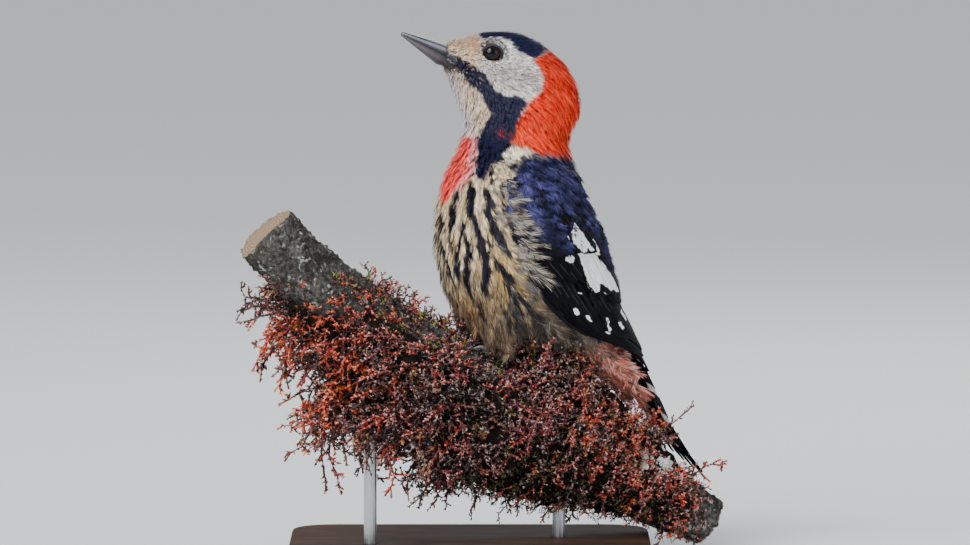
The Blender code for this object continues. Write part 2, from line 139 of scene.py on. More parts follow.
def margin(across, along, outline):
    """How far inside an outline points lie, below 0 outside it, for points given by two arrays."""
    outline = np.asarray(outline, float)
    nearest = np.full(len(across), 1e9)
    odd = np.zeros(len(across), bool)
    for (x0, y0), (x1, y1) in zip(outline, np.roll(outline, -1, axis=0)):
        length2 = (x1 - x0) ** 2 + (y1 - y0) ** 2
        share = np.clip(((across - x0) * (x1 - x0) + (along - y0) * (y1 - y0)) / length2, 0, 1)
        gap = np.hypot(across - x0 - share * (x1 - x0), along - y0 - share * (y1 - y0))
        nearest = np.minimum(nearest, gap)
        crosses = (y0 > along) != (y1 > along)
        if y1 != y0:
            odd ^= crosses & (across < x0 + (along - y0) * (x1 - x0) / (y1 - y0))
    return np.where(odd, nearest, -nearest)


def inside(across, along, outline, soft):
    """1 inside an outline and 0 outside, with a soft edge."""
    return step(-soft, soft, margin(across, along, outline))


def blend(base, colour, share):
    """One colour or many, moved to another by a share for each point."""
    return base + (np.asarray(colour) - base) * share[:, None]


def layered(base, *layers):
    """A base colour with further ones laid over it, each as (colour, share)."""
    for colour, share in layers:
        base = blend(base, colour, share)
    return base


# ---------------------------------------------------------------- markings

BLUE_BLACK = srgb(24, 29, 62)
NECK_BLACK = srgb(24, 26, 52)
WING_BLACK = srgb(7, 7, 12)
WHITE = srgb(252, 252, 250)
FACE_WHITE = srgb(226, 218, 212)
EAR_GREY = srgb(160, 148, 142)
MOTTLE_BROWN = srgb(112, 98, 92)
LORE_BUFF = srgb(232, 204, 172)
LORE_RUST = srgb(190, 120, 78)
THROAT_BUFF = srgb(206, 184, 160)
THROAT_LILAC = srgb(216, 200, 206)
NAPE_RED = srgb(226, 34, 14)
NAPE_ORANGE = srgb(248, 92, 52)
BREAST_RED = srgb(236, 72, 62)
BREAST_PINK = srgb(236, 160, 164)
BREAST_BUFF = srgb(200, 172, 128)
BREAST_PALE = srgb(236, 218, 188)
STREAK_BLACK = srgb(22, 20, 34)
BREAST_GOLD = srgb(164, 130, 66)
DASH_BROWN = srgb(84, 70, 58)
BELLY_GREY = srgb(112, 98, 82)
BELLY_RUST = srgb(180, 118, 74)
FLANK_GREY = srgb(148, 142, 136)
TUFT_CREAM = srgb(252, 236, 208)
SHAFT_BROWN = srgb(70, 40, 38)
CORAL = srgb(214, 108, 80)
CORAL_PALE = srgb(246, 200, 190)

# Outlines on the head's side, as (forward, up) in millimetres
CROWN = (
    (13.6, 168), (12.6, 162.2), (10.2, 162.5), (6.6, 162.8), (3.6, 161.6), (2.5, 159.5),
    (-1.4, 157.2), (-2.9, 156.4), (-5.4, 157.5), (-8.6, 158.8), (-10, 168),
)
NAPE = (
    (-2.9, 156.4), (-5.4, 157.5), (-8.6, 158.8), (-11, 168), (-30, 168), (-30, 127),
    (-9, 127.0), (-2, 127.7), (1.4, 128.9), (4.5, 130.5), (7.2, 131.0), (5.0, 135.4),
    (1.6, 140.4), (-0.5, 143.4), (-2.3, 144.8), (-5.2, 147), (-5.9, 150), (-4.8, 153.4),
)
MALAR = (
    (24.6, 158.4), (20.8, 157.5), (18, 156), (15, 154.2), (12, 151.9), (10.3, 149),
    (8.2, 146.7), (5.6, 145.5), (2.5, 145.3), (-0.4, 143.3), (1.6, 140.4), (4, 136),
    (5, 133.9), (6.8, 131.6), (10, 127.8), (12.2, 125.8), (14.9, 124.6), (17, 120.2),
    (19.3, 119.4), (19, 122.5), (16.8, 126.5), (15.8, 131.4), (15, 133.4), (13.8, 135.4),
    (12.3, 137.4), (11, 140), (11.9, 141.6), (12.8, 143.8), (13.8, 146.2), (16.6, 148.1),
    (18, 150.8), (20.1, 153), (22.6, 154.8), (25, 155.5),
)
TUFT = (
    (10.4, 127.2), (8.8, 128.8), (5.8, 130.0), (3.2, 129.8), (0.9, 128.9), (2.2, 127.5),
    (4.8, 127.2), (7, 125.1), (10.1, 124.8),
)
EARS = ((13, 153), (9, 154.5), (3, 154), (-4.5, 153), (-5, 147), (5, 146.5), (11, 150))
EYE = (9.3, 158.0)
EYE_RING = (3.55, 3.05)


def head_colour(points, forward, up, around):
    """Face, crown, nape, malar stripe and throat."""
    grain, drift = ripple(points, 1.6, 1), ripple(points, 5.0, 2)
    ears = inside(forward, up, EARS, 1.2) * (0.55 + 0.12 * drift + 0.15 * grain)
    mottle = bump(8.5, 6, forward) * bump(152.8, 2.6, up) * step(0.0, 0.8, grain)
    brow = bump(5.0, 5.5, forward) * bump(160.2, 2.6, up)
    lores = step(11.5, 15.5, forward + 0.4 * drift) * step(150, 155, up)
    rust = bump(14.2, 4.2, forward) * bump(160.6, 4.5, up) * (0.55 + 0.3 * drift)
    throat = step(-0.3, 0.9, (forward - 13) + (155 - up) * 0.35) * step(154, 150, up)
    throat = np.maximum(throat, step(146, 143, up) * step(0, 4, forward))
    lilac = step(26, 8, np.abs(around)) * throat
    tone = np.clip(0.4 + 0.5 * drift + 0.5 * grain + step(142, 128, up) * 0.3, 0, 1)
    chin = step(19, 21.5, forward + 0.8 * grain) * step(151.0, 153.5, up) * step(158, 156, up)
    worn = 0.3 * step(0.3, 0.7, grain) * step(11, 14, forward) * step(145, 149, up)
    flecks = bump(8.3, 3.6, forward) * bump(134, 2.2, up) * step(0.1, 0.7, grain)
    return layered(
        FACE_WHITE,
        (EAR_GREY, ears),
        (MOTTLE_BROWN, mottle * 0.6),
        (WHITE, brow * 0.8),
        (LORE_BUFF, lores),
        (LORE_RUST, np.clip(rust, 0, 1)),
        (THROAT_BUFF, throat),
        (THROAT_LILAC, lilac * 0.8),
        (blend(NAPE_RED, NAPE_ORANGE, tone * 0.75), inside(forward, up, NAPE, 0.9)),
        (DASH_BROWN * 0.4, chin * 0.75),
        (NECK_BLACK, inside(forward, up, MALAR, 0.55) * (1 - worn)),
        (BREAST_RED, flecks * 0.7),
        (BLUE_BLACK, inside(forward, up, CROWN, 0.45)),
    )


# Each dark streak of the breast: half its width, then places along it as (height, degrees)
BREAST_STREAKS = (
    (0.8, (109.5, 3), (100, 2), (92, 9), (85, 13)),
    (0.8, (117, 18), (112, 18), (106, 13.5), (97, 14.5)),
    (0.8, (108.5, 27), (101, 23), (97, 20), (89, 18)),
    (1.15, (120, 31), (112, 34), (107, 38), (99, 41), (92, 40), (84, 35)),
    (1.05, (103.5, 30), (95, 28), (90, 25), (82.5, 22)),
    (1.15, (118, 45), (112, 50), (106, 52), (102, 55), (96, 61.5)),
    (1.2, (97, 48), (91, 54), (84, 54.5), (79, 51), (71, 41)),
    (1.0, (113, 60), (108, 65), (104, 69), (97, 70.5), (92, 72), (85, 74)),
    (1.0, (86, 60), (79, 63), (70, 53)),
    (0.7, (126, 51), (118.5, 53)),
    (0.6, (121, 60), (113.5, 63)),
    (0.5, (97, 7), (88, 4)),
    (0.6, (84, 29), (74, 27)),
    (0.5, (104, 45), (98.5, 49)),
    (0.7, (82, 46), (70, 38)),
    (0.7, (80, 72), (70, 62)),
    (1.1, (84, 58), (74, 66), (64, 72)),
    (0.8, (78, 84), (68, 88)),
)


def streaks(points, around, up):
    """How dark the breast's wavy streaks are."""
    turn = np.abs(around) + 1.6 * ripple(points, 9, 3) + 0.8 * ripple(points, 3.5, 16)
    rough = ripple(points, 5, 4, (1, 1, 0.5))
    dark = np.zeros(len(up))
    for half, *places in BREAST_STREAKS:
        heights, degrees = np.array(places[::-1]).T
        middle = np.interp(up, heights, degrees)
        ends = np.clip((heights[-1] - up) / 3.0, 0, 1) * np.clip((up - heights[0]) / 3.0, 0, 1)
        wide = 1.3 * half * (1.0 + 0.45 * rough) * ends**0.5
        offset = np.abs(turn - middle) * 24 * pi / 180
        dark = np.maximum(dark, step(wide + 0.25, wide - 0.3, offset) * (ends > 0))
    return dark


# How far round the red of the breast and its deepest part reach, as degrees by height
RED_HEIGHTS, RED_REACH = (110.5, 113, 116.6, 119.4, 122, 130, 133.7), (-6, 7, 17, 28, 34, 31, 32)
DEEP_HEIGHTS, DEEP_REACH = (112, 114.5, 117.7, 122, 126.8, 132.8), (0, 7, 14, 23, 19, 14)
# Where the dark back begins, as degrees by height
BACK_HEIGHTS, BACK_EDGE = (66, 112, 119, 121, 124, 125, 127.5, 129), (106, 103, 80, 76, 73, 80, 90, 102)


def trunk_colour(points, forward, up, around):
    """Breast, flanks, belly, mantle and the coral feathers under the tail."""
    grain, drift = ripple(points, 1.4, 5), ripple(points, 7.0, 6)
    turn = np.abs(around)
    rust = bump(15, 28, turn) * bump(78, 10, up) + bump(40, 30, turn) * bump(68, 8, up)
    gold = bump(56, 30, turn) * bump(91, 22, up) + 0.5 * bump(20, 30, turn) * bump(82, 12, up)
    dashes = step(0.25, 0.7, ripple(points, 1.5, 15, (1, 1, 0.28)))
    dashes = dashes * step(118, 112, up) * step(96, 84, turn)
    red_reach = np.interp(up, RED_HEIGHTS, RED_REACH)
    red = step(2.5, -2.5, turn + 2.5 * grain - red_reach) * step(110, 112.5, up + grain)
    edge = step(-3, 5, turn - np.interp(up, DEEP_HEIGHTS, DEEP_REACH) + 3 * drift)
    pink = np.clip(edge + 0.4 * grain, 0, 1) * 0.85
    tail = step(69, 64.5, up + 0.45 * (forward + 20) + 1.5 * drift) * step(-8, -13, forward)
    back = step(-1.5, 1.5, turn + 1.5 * grain - np.interp(up, BACK_HEIGHTS, BACK_EDGE)) * step(66, 70, up)
    shadow = step(86, 72, up) * step(-14, -4, forward) * (0.75 + 0.4 * drift)
    strands = step(0.1, 0.6, ripple(points, 2.2, 17, (1, 1, 0.3)))
    shafts = step(0.3, 0.6, ripple(points, 3.0, 18, (1, 1, 0.45))) * tail
    return layered(
        BREAST_BUFF,
        (BREAST_PALE, np.clip(0.45 + 0.5 * drift, 0, 1)),
        (FLANK_GREY, step(66, 86, turn + 4 * drift)),
        (BELLY_GREY, step(100, 79, up + 3 * drift) * 0.8),
        (BELLY_RUST, np.clip(rust * (0.6 + 0.4 * drift), 0, 1) * 0.75),
        (BREAST_GOLD, np.clip(gold * (0.8 + 0.5 * drift), 0, 1) * 0.85),
        (DASH_BROWN, dashes * 0.7),
        (STREAK_BLACK, streaks(points, around, up) * (0.75 + 0.25 * step(72, 84, up))),
        (blend(BREAST_RED, BREAST_PINK, pink), red),
        (blend(CORAL, CORAL_PALE, np.clip(0.2 + 0.6 * grain, 0, 0.8)), tail),
        (STREAK_BLACK, np.clip(shadow, 0, 1) * (0.6 + 0.4 * strands) * (1 - back)),
        (SHAFT_BROWN, shafts * 0.6),
        (BLUE_BLACK, back),
    )


# Where the neck's dark collar ends, as heights by degrees round from the breast
COLLAR_TURNS = (0, 28, 33, 40, 46, 54, 65, 71, 76, 90, 180)
COLLAR_HEIGHTS = (133, 132, 124, 119.5, 121.8, 124.8, 124.9, 123.6, 123, 127, 127)


def markings(points):
    """The bird's colour at points of its skin or coat, as linear red, green and blue."""
    forward, side, up, around = to_bird(points)
    turn = np.abs(around)
    head = head_colour(points, forward, up, around)
    trunk = trunk_colour(points, forward, up, around)
    breast_reach = np.interp(turn, COLLAR_TURNS, COLLAR_HEIGHTS)
    lower = step(1.0, -1.0, up + 0.8 * ripple(points, 3.0, 7) - breast_reach)
    nape = inside(forward, up, NAPE, 0.9)
    collar = step(134, 131, up) * step(38, 46, turn) * (1 - lower) * (1 - nape)
    black = np.maximum(inside(forward, up, MALAR, 0.6) * step(133, 130, up), collar)
    red = nape * step(133, 130, up)
    return layered(
        trunk,
        (head, 1 - lower),
        (NECK_BLACK, black),
        (NAPE_RED * 0.6 + NAPE_ORANGE * 0.4, red),
        (TUFT_CREAM, inside(forward, up, TUFT, 0.6)),
    )


def gloss_of(colour):
    """Dark feathers are glossy and pale ones are matt."""
    return step(0.16, 0.03, colour.max(axis=1))


# ---------------------------------------------------------------- materials


class Wire:
    """A node's output in a sum: an operator on it adds a Math node."""

    def __init__(self, finish, socket):
        self.finish = finish
        self.socket = socket

    def _maths(operation, reflected=False):
        def apply(self, other=0.0):
            first, second = (other, self) if reflected else (self, other)
            return self.finish.node("ShaderNodeMath", {"operation": operation}, {0: first, 1: second})

        return apply

    __add__, __radd__ = _maths("ADD"), _maths("ADD", True)
    __sub__, __rsub__ = _maths("SUBTRACT"), _maths("SUBTRACT", True)
    __mul__, __rmul__ = _maths("MULTIPLY"), _maths("MULTIPLY", True)
    absolute, sine = _maths("ABSOLUTE"), _maths("SINE")

    def clamped(self, low, high, to_low=0.0, to_high=1.0):
        """Smoothly from to_low at low to to_high at high."""
        return self.finish.node(
            "ShaderNodeMapRange",
            {"interpolation_type": "SMOOTHSTEP"},
            {"Value": self, "From Min": low, "From Max": high, "To Min": to_low, "To Max": to_high},
        )


class Finish:
    """A material being made, with its Principled shader's own settings."""

    def __init__(self, name, **settings):
        self.material = bpy.data.materials.new(name)
        self.material.use_nodes = True
        self.nodes = self.material.node_tree.nodes
        self.links = self.material.node_tree.links
        self.shader = self.nodes["Principled BSDF"]
        for socket, value in settings.items():
            self.shader.inputs[socket.replace("_", " ")].default_value = value

    def node(self, kind, settings=None, inputs=None, out=0):
        made = self.nodes.new(kind)
        for key, value in (settings or {}).items():
            if key == "stops":
                self._ramp(made.color_ramp, value)
            else:
                setattr(made, key, value)
        for key, value in (inputs or {}).items():
            self.feed(made.inputs[key], value)
        return Wire(self, made.outputs[out])

    def _ramp(self, ramp, stops):
        while len(ramp.elements) < len(stops):
            ramp.elements.new(0.5)
        for element, (place, colour) in zip(ramp.elements, stops):
            element.position = place
            element.color = (*colour, 1.0)

    def feed(self, socket, value):
        if isinstance(value, Wire):
            self.links.new(value.socket, socket)
        elif socket.type == "RGBA":
            socket.default_value = (*value, 1.0) if len(value) == 3 else value
        else:
            socket.default_value = value

    def set(self, socket, value):
        self.feed(self.shader.inputs[socket], value)

    def place(self, stretch=(1, 1, 1)):
        """Object coordinates in millimetres, stretched along each axis."""
        spot = self.node("ShaderNodeTexCoord", out="Object")
        size = tuple(part / MM for part in stretch)
        return self.node("ShaderNodeMapping", {}, {"Vector": spot, "Scale": size})

    def noise(self, place, scale, detail=3.0, roughness=0.55, distortion=0.0):
        values = {"Vector": place, "Scale": scale, "Detail": detail}
        values.update({"Roughness": roughness, "Distortion": distortion})
        return self.node("ShaderNodeTexNoise", {}, values, "Fac")

    def attribute(self, name, out="Fac"):
        return self.node("ShaderNodeAttribute", {"attribute_name": name}, {}, out)

    def tint(self):
        return self.attribute("tint", "Color")

    def mix(self, share, first, second, blend_type="MIX"):
        """A colour between two colours."""
        settings = {"data_type": "RGBA", "blend_type": blend_type}
        return self.node("ShaderNodeMix", settings, {0: share, 6: first, 7: second}, 2)

    def ramp(self, value, *stops):
        return self.node("ShaderNodeValToRGB", {"stops": stops}, {"Fac": value})

    def tinted(self, tint, light):
        """Feeds the base colour with a tint made lighter or darker by light."""
        grey = self.node("ShaderNodeCombineColor", {}, {"Red": light, "Green": light, "Blue": light})
        self.set("Base Color", self.mix(1.0, tint, grey, "MULTIPLY"))

    def relief(self, height, distance, strength=1.0):
        """Feeds the shader's normal with a bump from height, distance millimetres high."""
        values = {"Height": height, "Distance": distance * MM, "Strength": strength}
        self.set("Normal", self.node("ShaderNodeBump", {}, values))


def plumage_finish(name, rough_matt, rough_gloss, sheen=0.0, shine=0.3):
    """Feather vanes and skin: the painted tint, each barb a little lighter or darker."""
    finish = Finish(name, Sheen_Weight=sheen, Sheen_Roughness=0.4, Specular_IOR_Level=shine)
    tint = finish.tint()
    shade = finish.attribute("shade")
    speck = finish.noise(finish.place(), 0.9, 2.0)
    light = shade * 1.15 + speck * 0.3 + 0.28
    finish.tinted(tint, light)
    gloss = finish.attribute("gloss")
    finish.set("Roughness", gloss * (rough_gloss - rough_matt) + rough_matt)
    return finish.material


# ---------------------------------------------------------------- meshes from arrays


def placed(name, data):
    """A new object in the scene, at the origin."""
    obj = bpy.data.objects.new(name, data)
    bpy.context.scene.collection.objects.link(obj)
    return obj


def array_mesh(name, points, faces, uv=None, tint=None, numbers=None):
    """A mesh object from arrays of points and triangles, with a map, a tint and other numbers."""
    mesh = bpy.data.meshes.new(name)
    mesh.vertices.add(len(points))
    mesh.vertices.foreach_set("co", np.asarray(points, np.float32).ravel())
    corners = np.asarray(faces, np.int32).ravel()
    mesh.loops.add(len(corners))
    mesh.loops.foreach_set("vertex_index", corners)
    mesh.polygons.add(len(faces))
    mesh.polygons.foreach_set("loop_start", np.arange(0, len(corners), 3, dtype=np.int32))
    mesh.update(calc_edges=True)
    if uv is not None:
        layer = mesh.uv_layers.new(name="OFBake")
        layer.data.foreach_set("uv", np.asarray(uv, np.float32)[corners].ravel())
    paint(mesh, tint, numbers)
    mesh.shade_smooth()
    return placed(name, mesh)


def paint(mesh, tint=None, numbers=None):
    """Sets a mesh's tint and other numbers for each point."""
    for key, values in (numbers or {}).items():
        layer = mesh.attributes.new(key, "FLOAT", "POINT")
        layer.data.foreach_set("value", np.asarray(values, np.float32))
    if tint is not None:
        layer = mesh.attributes.new("tint", "FLOAT_COLOR", "POINT")
        full = np.concatenate([tint, np.ones((len(tint), 1))], axis=1)
        layer.data.foreach_set("color", full.astype(np.float32).ravel())


def read(rows, key, width=3):
    values = np.empty(len(rows) * width, np.float32)
    rows.foreach_get(key, values)
    return values.reshape(-1, width)


def mesh_points(mesh):
    return read(mesh.vertices, "co").astype(float)


def mesh_normals(mesh):
    return read(mesh.vertex_normals, "vector").astype(float)


def set_points(mesh, points):
    mesh.vertices.foreach_set("co", np.asarray(points, np.float32).ravel())
    mesh.update()


def only(obj):
    """Makes obj the one selected and active object."""
    bpy.ops.object.select_all(action="DESELECT")
    obj.select_set(True)
    bpy.context.view_layer.objects.active = obj


def apply_modifier(obj, kind, **settings):
    only(obj)
    modifier = obj.modifiers.new(kind.title(), kind)
    for key, value in settings.items():
        setattr(modifier, key, value)
    bpy.ops.object.modifier_apply(modifier=modifier.name)


def smoothed_remesh(obj, voxel, iterations):
    """Makes one even closed mesh of an object's parts, with its edges softened."""
    apply_modifier(obj, "REMESH", mode="VOXEL", voxel_size=voxel * MM, adaptivity=0.0)
    apply_modifier(obj, "SMOOTH", factor=0.5, iterations=iterations)
    return mesh_points(obj.data), mesh_normals(obj.data)


def faces_outwards(obj, merge=False):
    """Turns the faces of a closed mesh outwards, its doubles merged first where it has them."""
    only(obj)
    bpy.ops.object.mode_set(mode="EDIT")
    bpy.ops.mesh.select_all(action="SELECT")
    if merge:
        bpy.ops.mesh.remove_doubles(threshold=1e-6)
    bpy.ops.mesh.normals_make_consistent(inside=False)
    bpy.ops.object.mode_set(mode="OBJECT")


def finished(piece, slot, material, *replaced):
    """Gives a piece its material, its body and the nodes that it stands for; the slot is not used."""
    piece.data.materials.clear()
    piece.data.materials.append(material)
    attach(piece, "root")
    if replaced:
        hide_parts(*replaced)
    return piece


def merged_copy(nodes, name, swell=0.0):
    """Copies of CAD nodes with their doubles merged, swollen a little and joined."""
    bm = bmesh.new()
    for node in nodes:
        part = bmesh.new()
        part.from_mesh(bpy.data.objects[node].data)
        bmesh.ops.remove_doubles(part, verts=part.verts, dist=1e-6)
        part.normal_update()
        for vert in part.verts:
            vert.co += vert.normal * swell * MM
        mesh = bpy.data.meshes.new("part")
        part.to_mesh(mesh)
        part.free()
        bm.from_mesh(mesh)
        bpy.data.meshes.remove(mesh)
    mesh = bpy.data.meshes.new(name)
    bm.to_mesh(mesh)
    bm.free()
    return placed(name, mesh)


# ---------------------------------------------------------------- skin

FLESH = ("head", "neck", "trunk", "undertail", "thigh_L", "thigh_R")
SKIN_SWELL = 0.3


def coat_depth(points):
    """How far the coat's outer face stands off the skin, in millimetres."""
    forward, side, up, around = to_bird(points)
    depth = np.interp(up, (50, 66, 80, 110, 122, 134, 146, 156), (1.4, 1.8, 2.2, 2.0, 1.9, 1.6, 1.2, 0.9))
    face = step(4, 16, forward) * step(140, 148, up)
    nape = step(-6, -12, forward) * step(126, 134, up)
    return depth * (1 - 0.35 * face) + 0.7 * nape


def make_skin():
    """One closed skin under the whole coat, from the bird's flesh."""
    skin = merged_copy(FLESH, "skin", SKIN_SWELL)
    points, normals = smoothed_remesh(skin, 0.75, 8)
    inset = coat_depth(points) + SKIN_SWELL
    set_points(skin.data, points - normals * inset[:, None] * MM)
    apply_modifier(skin, "SMOOTH", factor=0.5, iterations=4)
    unwrap(skin)
    colour = markings(mesh_points(skin.data))
    count = len(skin.data.vertices)
    # The skin takes the markings darkened to 0.6 and a low shade: painted shade that shows in the gaps
    # between the feathers.
    paint(skin.data, colour * 0.6, {"gloss": gloss_of(colour), "shade": np.full(count, 0.1)})
    return skin


class Surface:
    """One or more meshes together, to find the nearest point of them and its normal."""

    def __init__(self, *objects):
        points, corners, count = [], [], 0
        for obj in objects:
            obj.data.calc_loop_triangles()
            points.append(mesh_points(obj.data))
            corners.append(np.array([tuple(t.vertices) for t in obj.data.loop_triangles]) + count)
            count += len(points[-1])
        self.points, self.corners = np.concatenate(points), np.concatenate(corners)
        self.tree = BVHTree.FromPolygons(self.points.tolist(), self.corners.tolist())

    def nearest(self, points):
        """The nearest points of the surface and their normals."""
        found = [self.tree.find_nearest(Vector(point)) for point in points]
        return np.array([hit[0] for hit in found]), np.array([hit[1] for hit in found])


class Outside:
    """A surface as it is seen from outside, so that feathers lie over whatever is outermost."""

    def __init__(self, surface):
        self.tree = surface.tree

    def nearest(self, points):
        forward, side, up, around = to_bird(points)
        return outer_points(self, up, around)


class Ground(Surface):
    """A surface that feathers grow from, with its map."""

    def __init__(self, obj):
        super().__init__(obj)
        mesh = obj.data
        loops = np.array([tuple(t.loops) for t in mesh.loop_triangles])
        self.uv = read(mesh.uv_layers["OFBake"].data, "uv", 2)[loops]

    def scatter(self, spacing, count, rng, keep=None):
        """Points over the surface, a spacing in millimetres apart or a little more.

        The spacing is a number, or gives one for each point.
        """
        room = spacing if callable(spacing) else lambda points: np.full(len(points), spacing)
        a, b, c = (self.points[self.corners[:, k]] for k in range(3))
        area = np.linalg.norm(np.cross(b - a, c - a), axis=1)
        middle = (a + b + c) / 3
        weight = area / room(middle) ** 2
        if keep is not None:
            weight = weight * keep(middle)
        face = rng.choice(len(area), size=count, p=weight / weight.sum())
        share = rng.random((count, 2))
        share = np.where(share.sum(axis=1, keepdims=True) > 1, 1 - share, share)
        spots = a[face] + (b - a)[face] * share[:, :1] + (c - a)[face] * share[:, 1:]
        chosen = thinned(spots / MM, room(spots))
        face, share, spots = face[chosen], share[chosen], spots[chosen]
        uv = self.uv[face]
        uv = uv[:, 0] + (uv[:, 1] - uv[:, 0]) * share[:, :1] + (uv[:, 2] - uv[:, 0]) * share[:, 1:]
        normals = unit(np.cross((b - a)[face], (c - a)[face]))
        return spots, normals, uv


def thinned(spots, spacing):
    """The numbers of those spots that keep their spacing from the ones chosen before them."""
    cell = float(np.max(spacing))
    cells, chosen = {}, []
    for number, (spot, room) in enumerate(zip(spots.tolist(), spacing.tolist())):
        x, y, z = (int(part // cell) for part in spot)
        near = (
            other
            for i in (x - 1, x, x + 1)
            for j in (y - 1, y, y + 1)
            for k in (z - 1, z, z + 1)
            for other in cells.get((i, j, k), ())
        )
        if all(
            (spot[0] - o[0]) ** 2 + (spot[1] - o[1]) ** 2 + (spot[2] - o[2]) ** 2 > room * room
            for o in near
        ):
            cells.setdefault((x, y, z), []).append(spot)
            chosen.append(number)
    return np.array(chosen)


# ---------------------------------------------------------------- feathers


class Vane:
    """One pattern of a feather: points as (along, across, height), triangles and barb shades."""

    def __init__(self, rng, barbs, pieces, splay, leaf, outline, frizz, breadth=0.8, thick=0.045):
        self.points, self.faces, self.shades = [], [], []
        self.thick = thick
        if leaf:
            self._leaf(leaf, outline, breadth)
        for side in (-1, 1):
            for number in range(barbs):
                self._barb(rng, side, (number + rng.random() * 0.7) / barbs, pieces, splay, outline, frizz)
        self.points, self.faces, self.shades = map(np.array, (self.points, self.faces, self.shades))

    def _leaf(self, reach, outline, breadth):
        """The close-knit middle of the vane, from the root to reach."""
        start = len(self.points)
        stations = np.linspace(0, 1, 5)
        for along in stations:
            half = outline(along * reach) * breadth * (1 if along < 1 else 0.15)
            for across in (-1, 0, 1):
                self.points.append((along * reach, across * half, -0.10 * abs(across) - 0.04))
                self.shades.append(0.35)
        for row in range(4):
            for column in range(2):
                a = start + row * 3 + column
                self.faces += [(a, a + 1, a + 4), (a, a + 4, a + 3)]

    def _barb(self, rng, side, place, pieces, splay, outline, frizz):
        """One barb: a thin blade that leaves the shaft and bends to the feather's tip."""
        start = len(self.points)
        root = 0.04 + 0.74 * place
        length = (0.34 + 0.22 * (1 - place)) * rng.uniform(0.8, 1.2)
        tip = min(root + length, 1.0 + 0.1 * rng.random())
        reach = side * outline(min(tip, 0.97)) * splay * rng.uniform(0.7, 1.15)
        if place > 0.8:
            reach *= rng.uniform(0.1, 0.8)
        curl = rng.normal(0, frizz)
        shade = rng.random()
        for number in range(pieces + 1):
            t = number / pieces
            along = root + (tip - root) * t
            across = reach * t**0.75 + curl * t * t
            width = self.thick * (1 - t) ** 0.6 + 0.006
            height = -0.10 * (across**2) + 0.05 * rng.normal() * t
            if number == pieces:
                self.points.append((along, across, height))
                self.shades.append(shade)
            else:
                self.points.append((along + width * 0.8, across - side * width, height))
                self.points.append((along - width * 0.8, across + side * width, height))
                self.shades += [shade, shade]
        for number in range(pieces - 1):
            a = start + number * 2
            quad = [(a, a + 1, a + 3), (a, a + 3, a + 2)]
            self.faces += quad if side > 0 else [face[::-1] for face in quad]
        a = start + (pieces - 1) * 2
        tip_face = (a, a + 1, a + 2)
        self.faces.append(tip_face if side > 0 else tip_face[::-1])


def ovate(widest, power=0.6):
    """An egg-shaped outline, as half a width by share of the length."""

    def half(along):
        along = min(max(along, 0.0), 1.0)
        rise = min(along / widest, 1.0) ** power
        fall = max(1 - max(along - widest, 0.0) / (1.001 - widest), 0.0) ** 0.5
        return 0.5 * rise * fall + 0.02

    return half


SPINE = 5  # points along a feather's shaft
TUFT_PATCH = 0.003  # how much of the map a tuft covers
MAP_RANGE = (0.0005, 0.9995)


def spines(ground, roots, normals, flow, lengths, hug=1.0):
    """Shafts laid over the ground along the flow: points, directions and normals.

    A hug under 1 lets a shaft leave the ground where the ground falls away.
    """
    spots, ups = roots, normals
    places, heads, faces = [roots], [], []
    for number in range(SPINE):
        way = flow(spots)
        way = unit(way - ups * (way * ups).sum(axis=1, keepdims=True))
        heads.append(way)
        faces.append(ups)
        if number < SPINE - 1:
            ahead = spots + way * (lengths / (SPINE - 1))[:, None] * MM
            spots, fresh = ground.nearest(ahead)
            if hug < 1:
                fresh = unit(ups + (fresh - ups) * hug)
                free = ((ahead - spots) * fresh).sum(axis=1, keepdims=True).clip(0, None)
                spots = np.where(free > 0, ahead - fresh * free * hug, spots)
            ups = fresh
            places.append(spots)
    return np.stack(places, 1), np.stack(heads, 1), unit(np.stack(faces, 1))


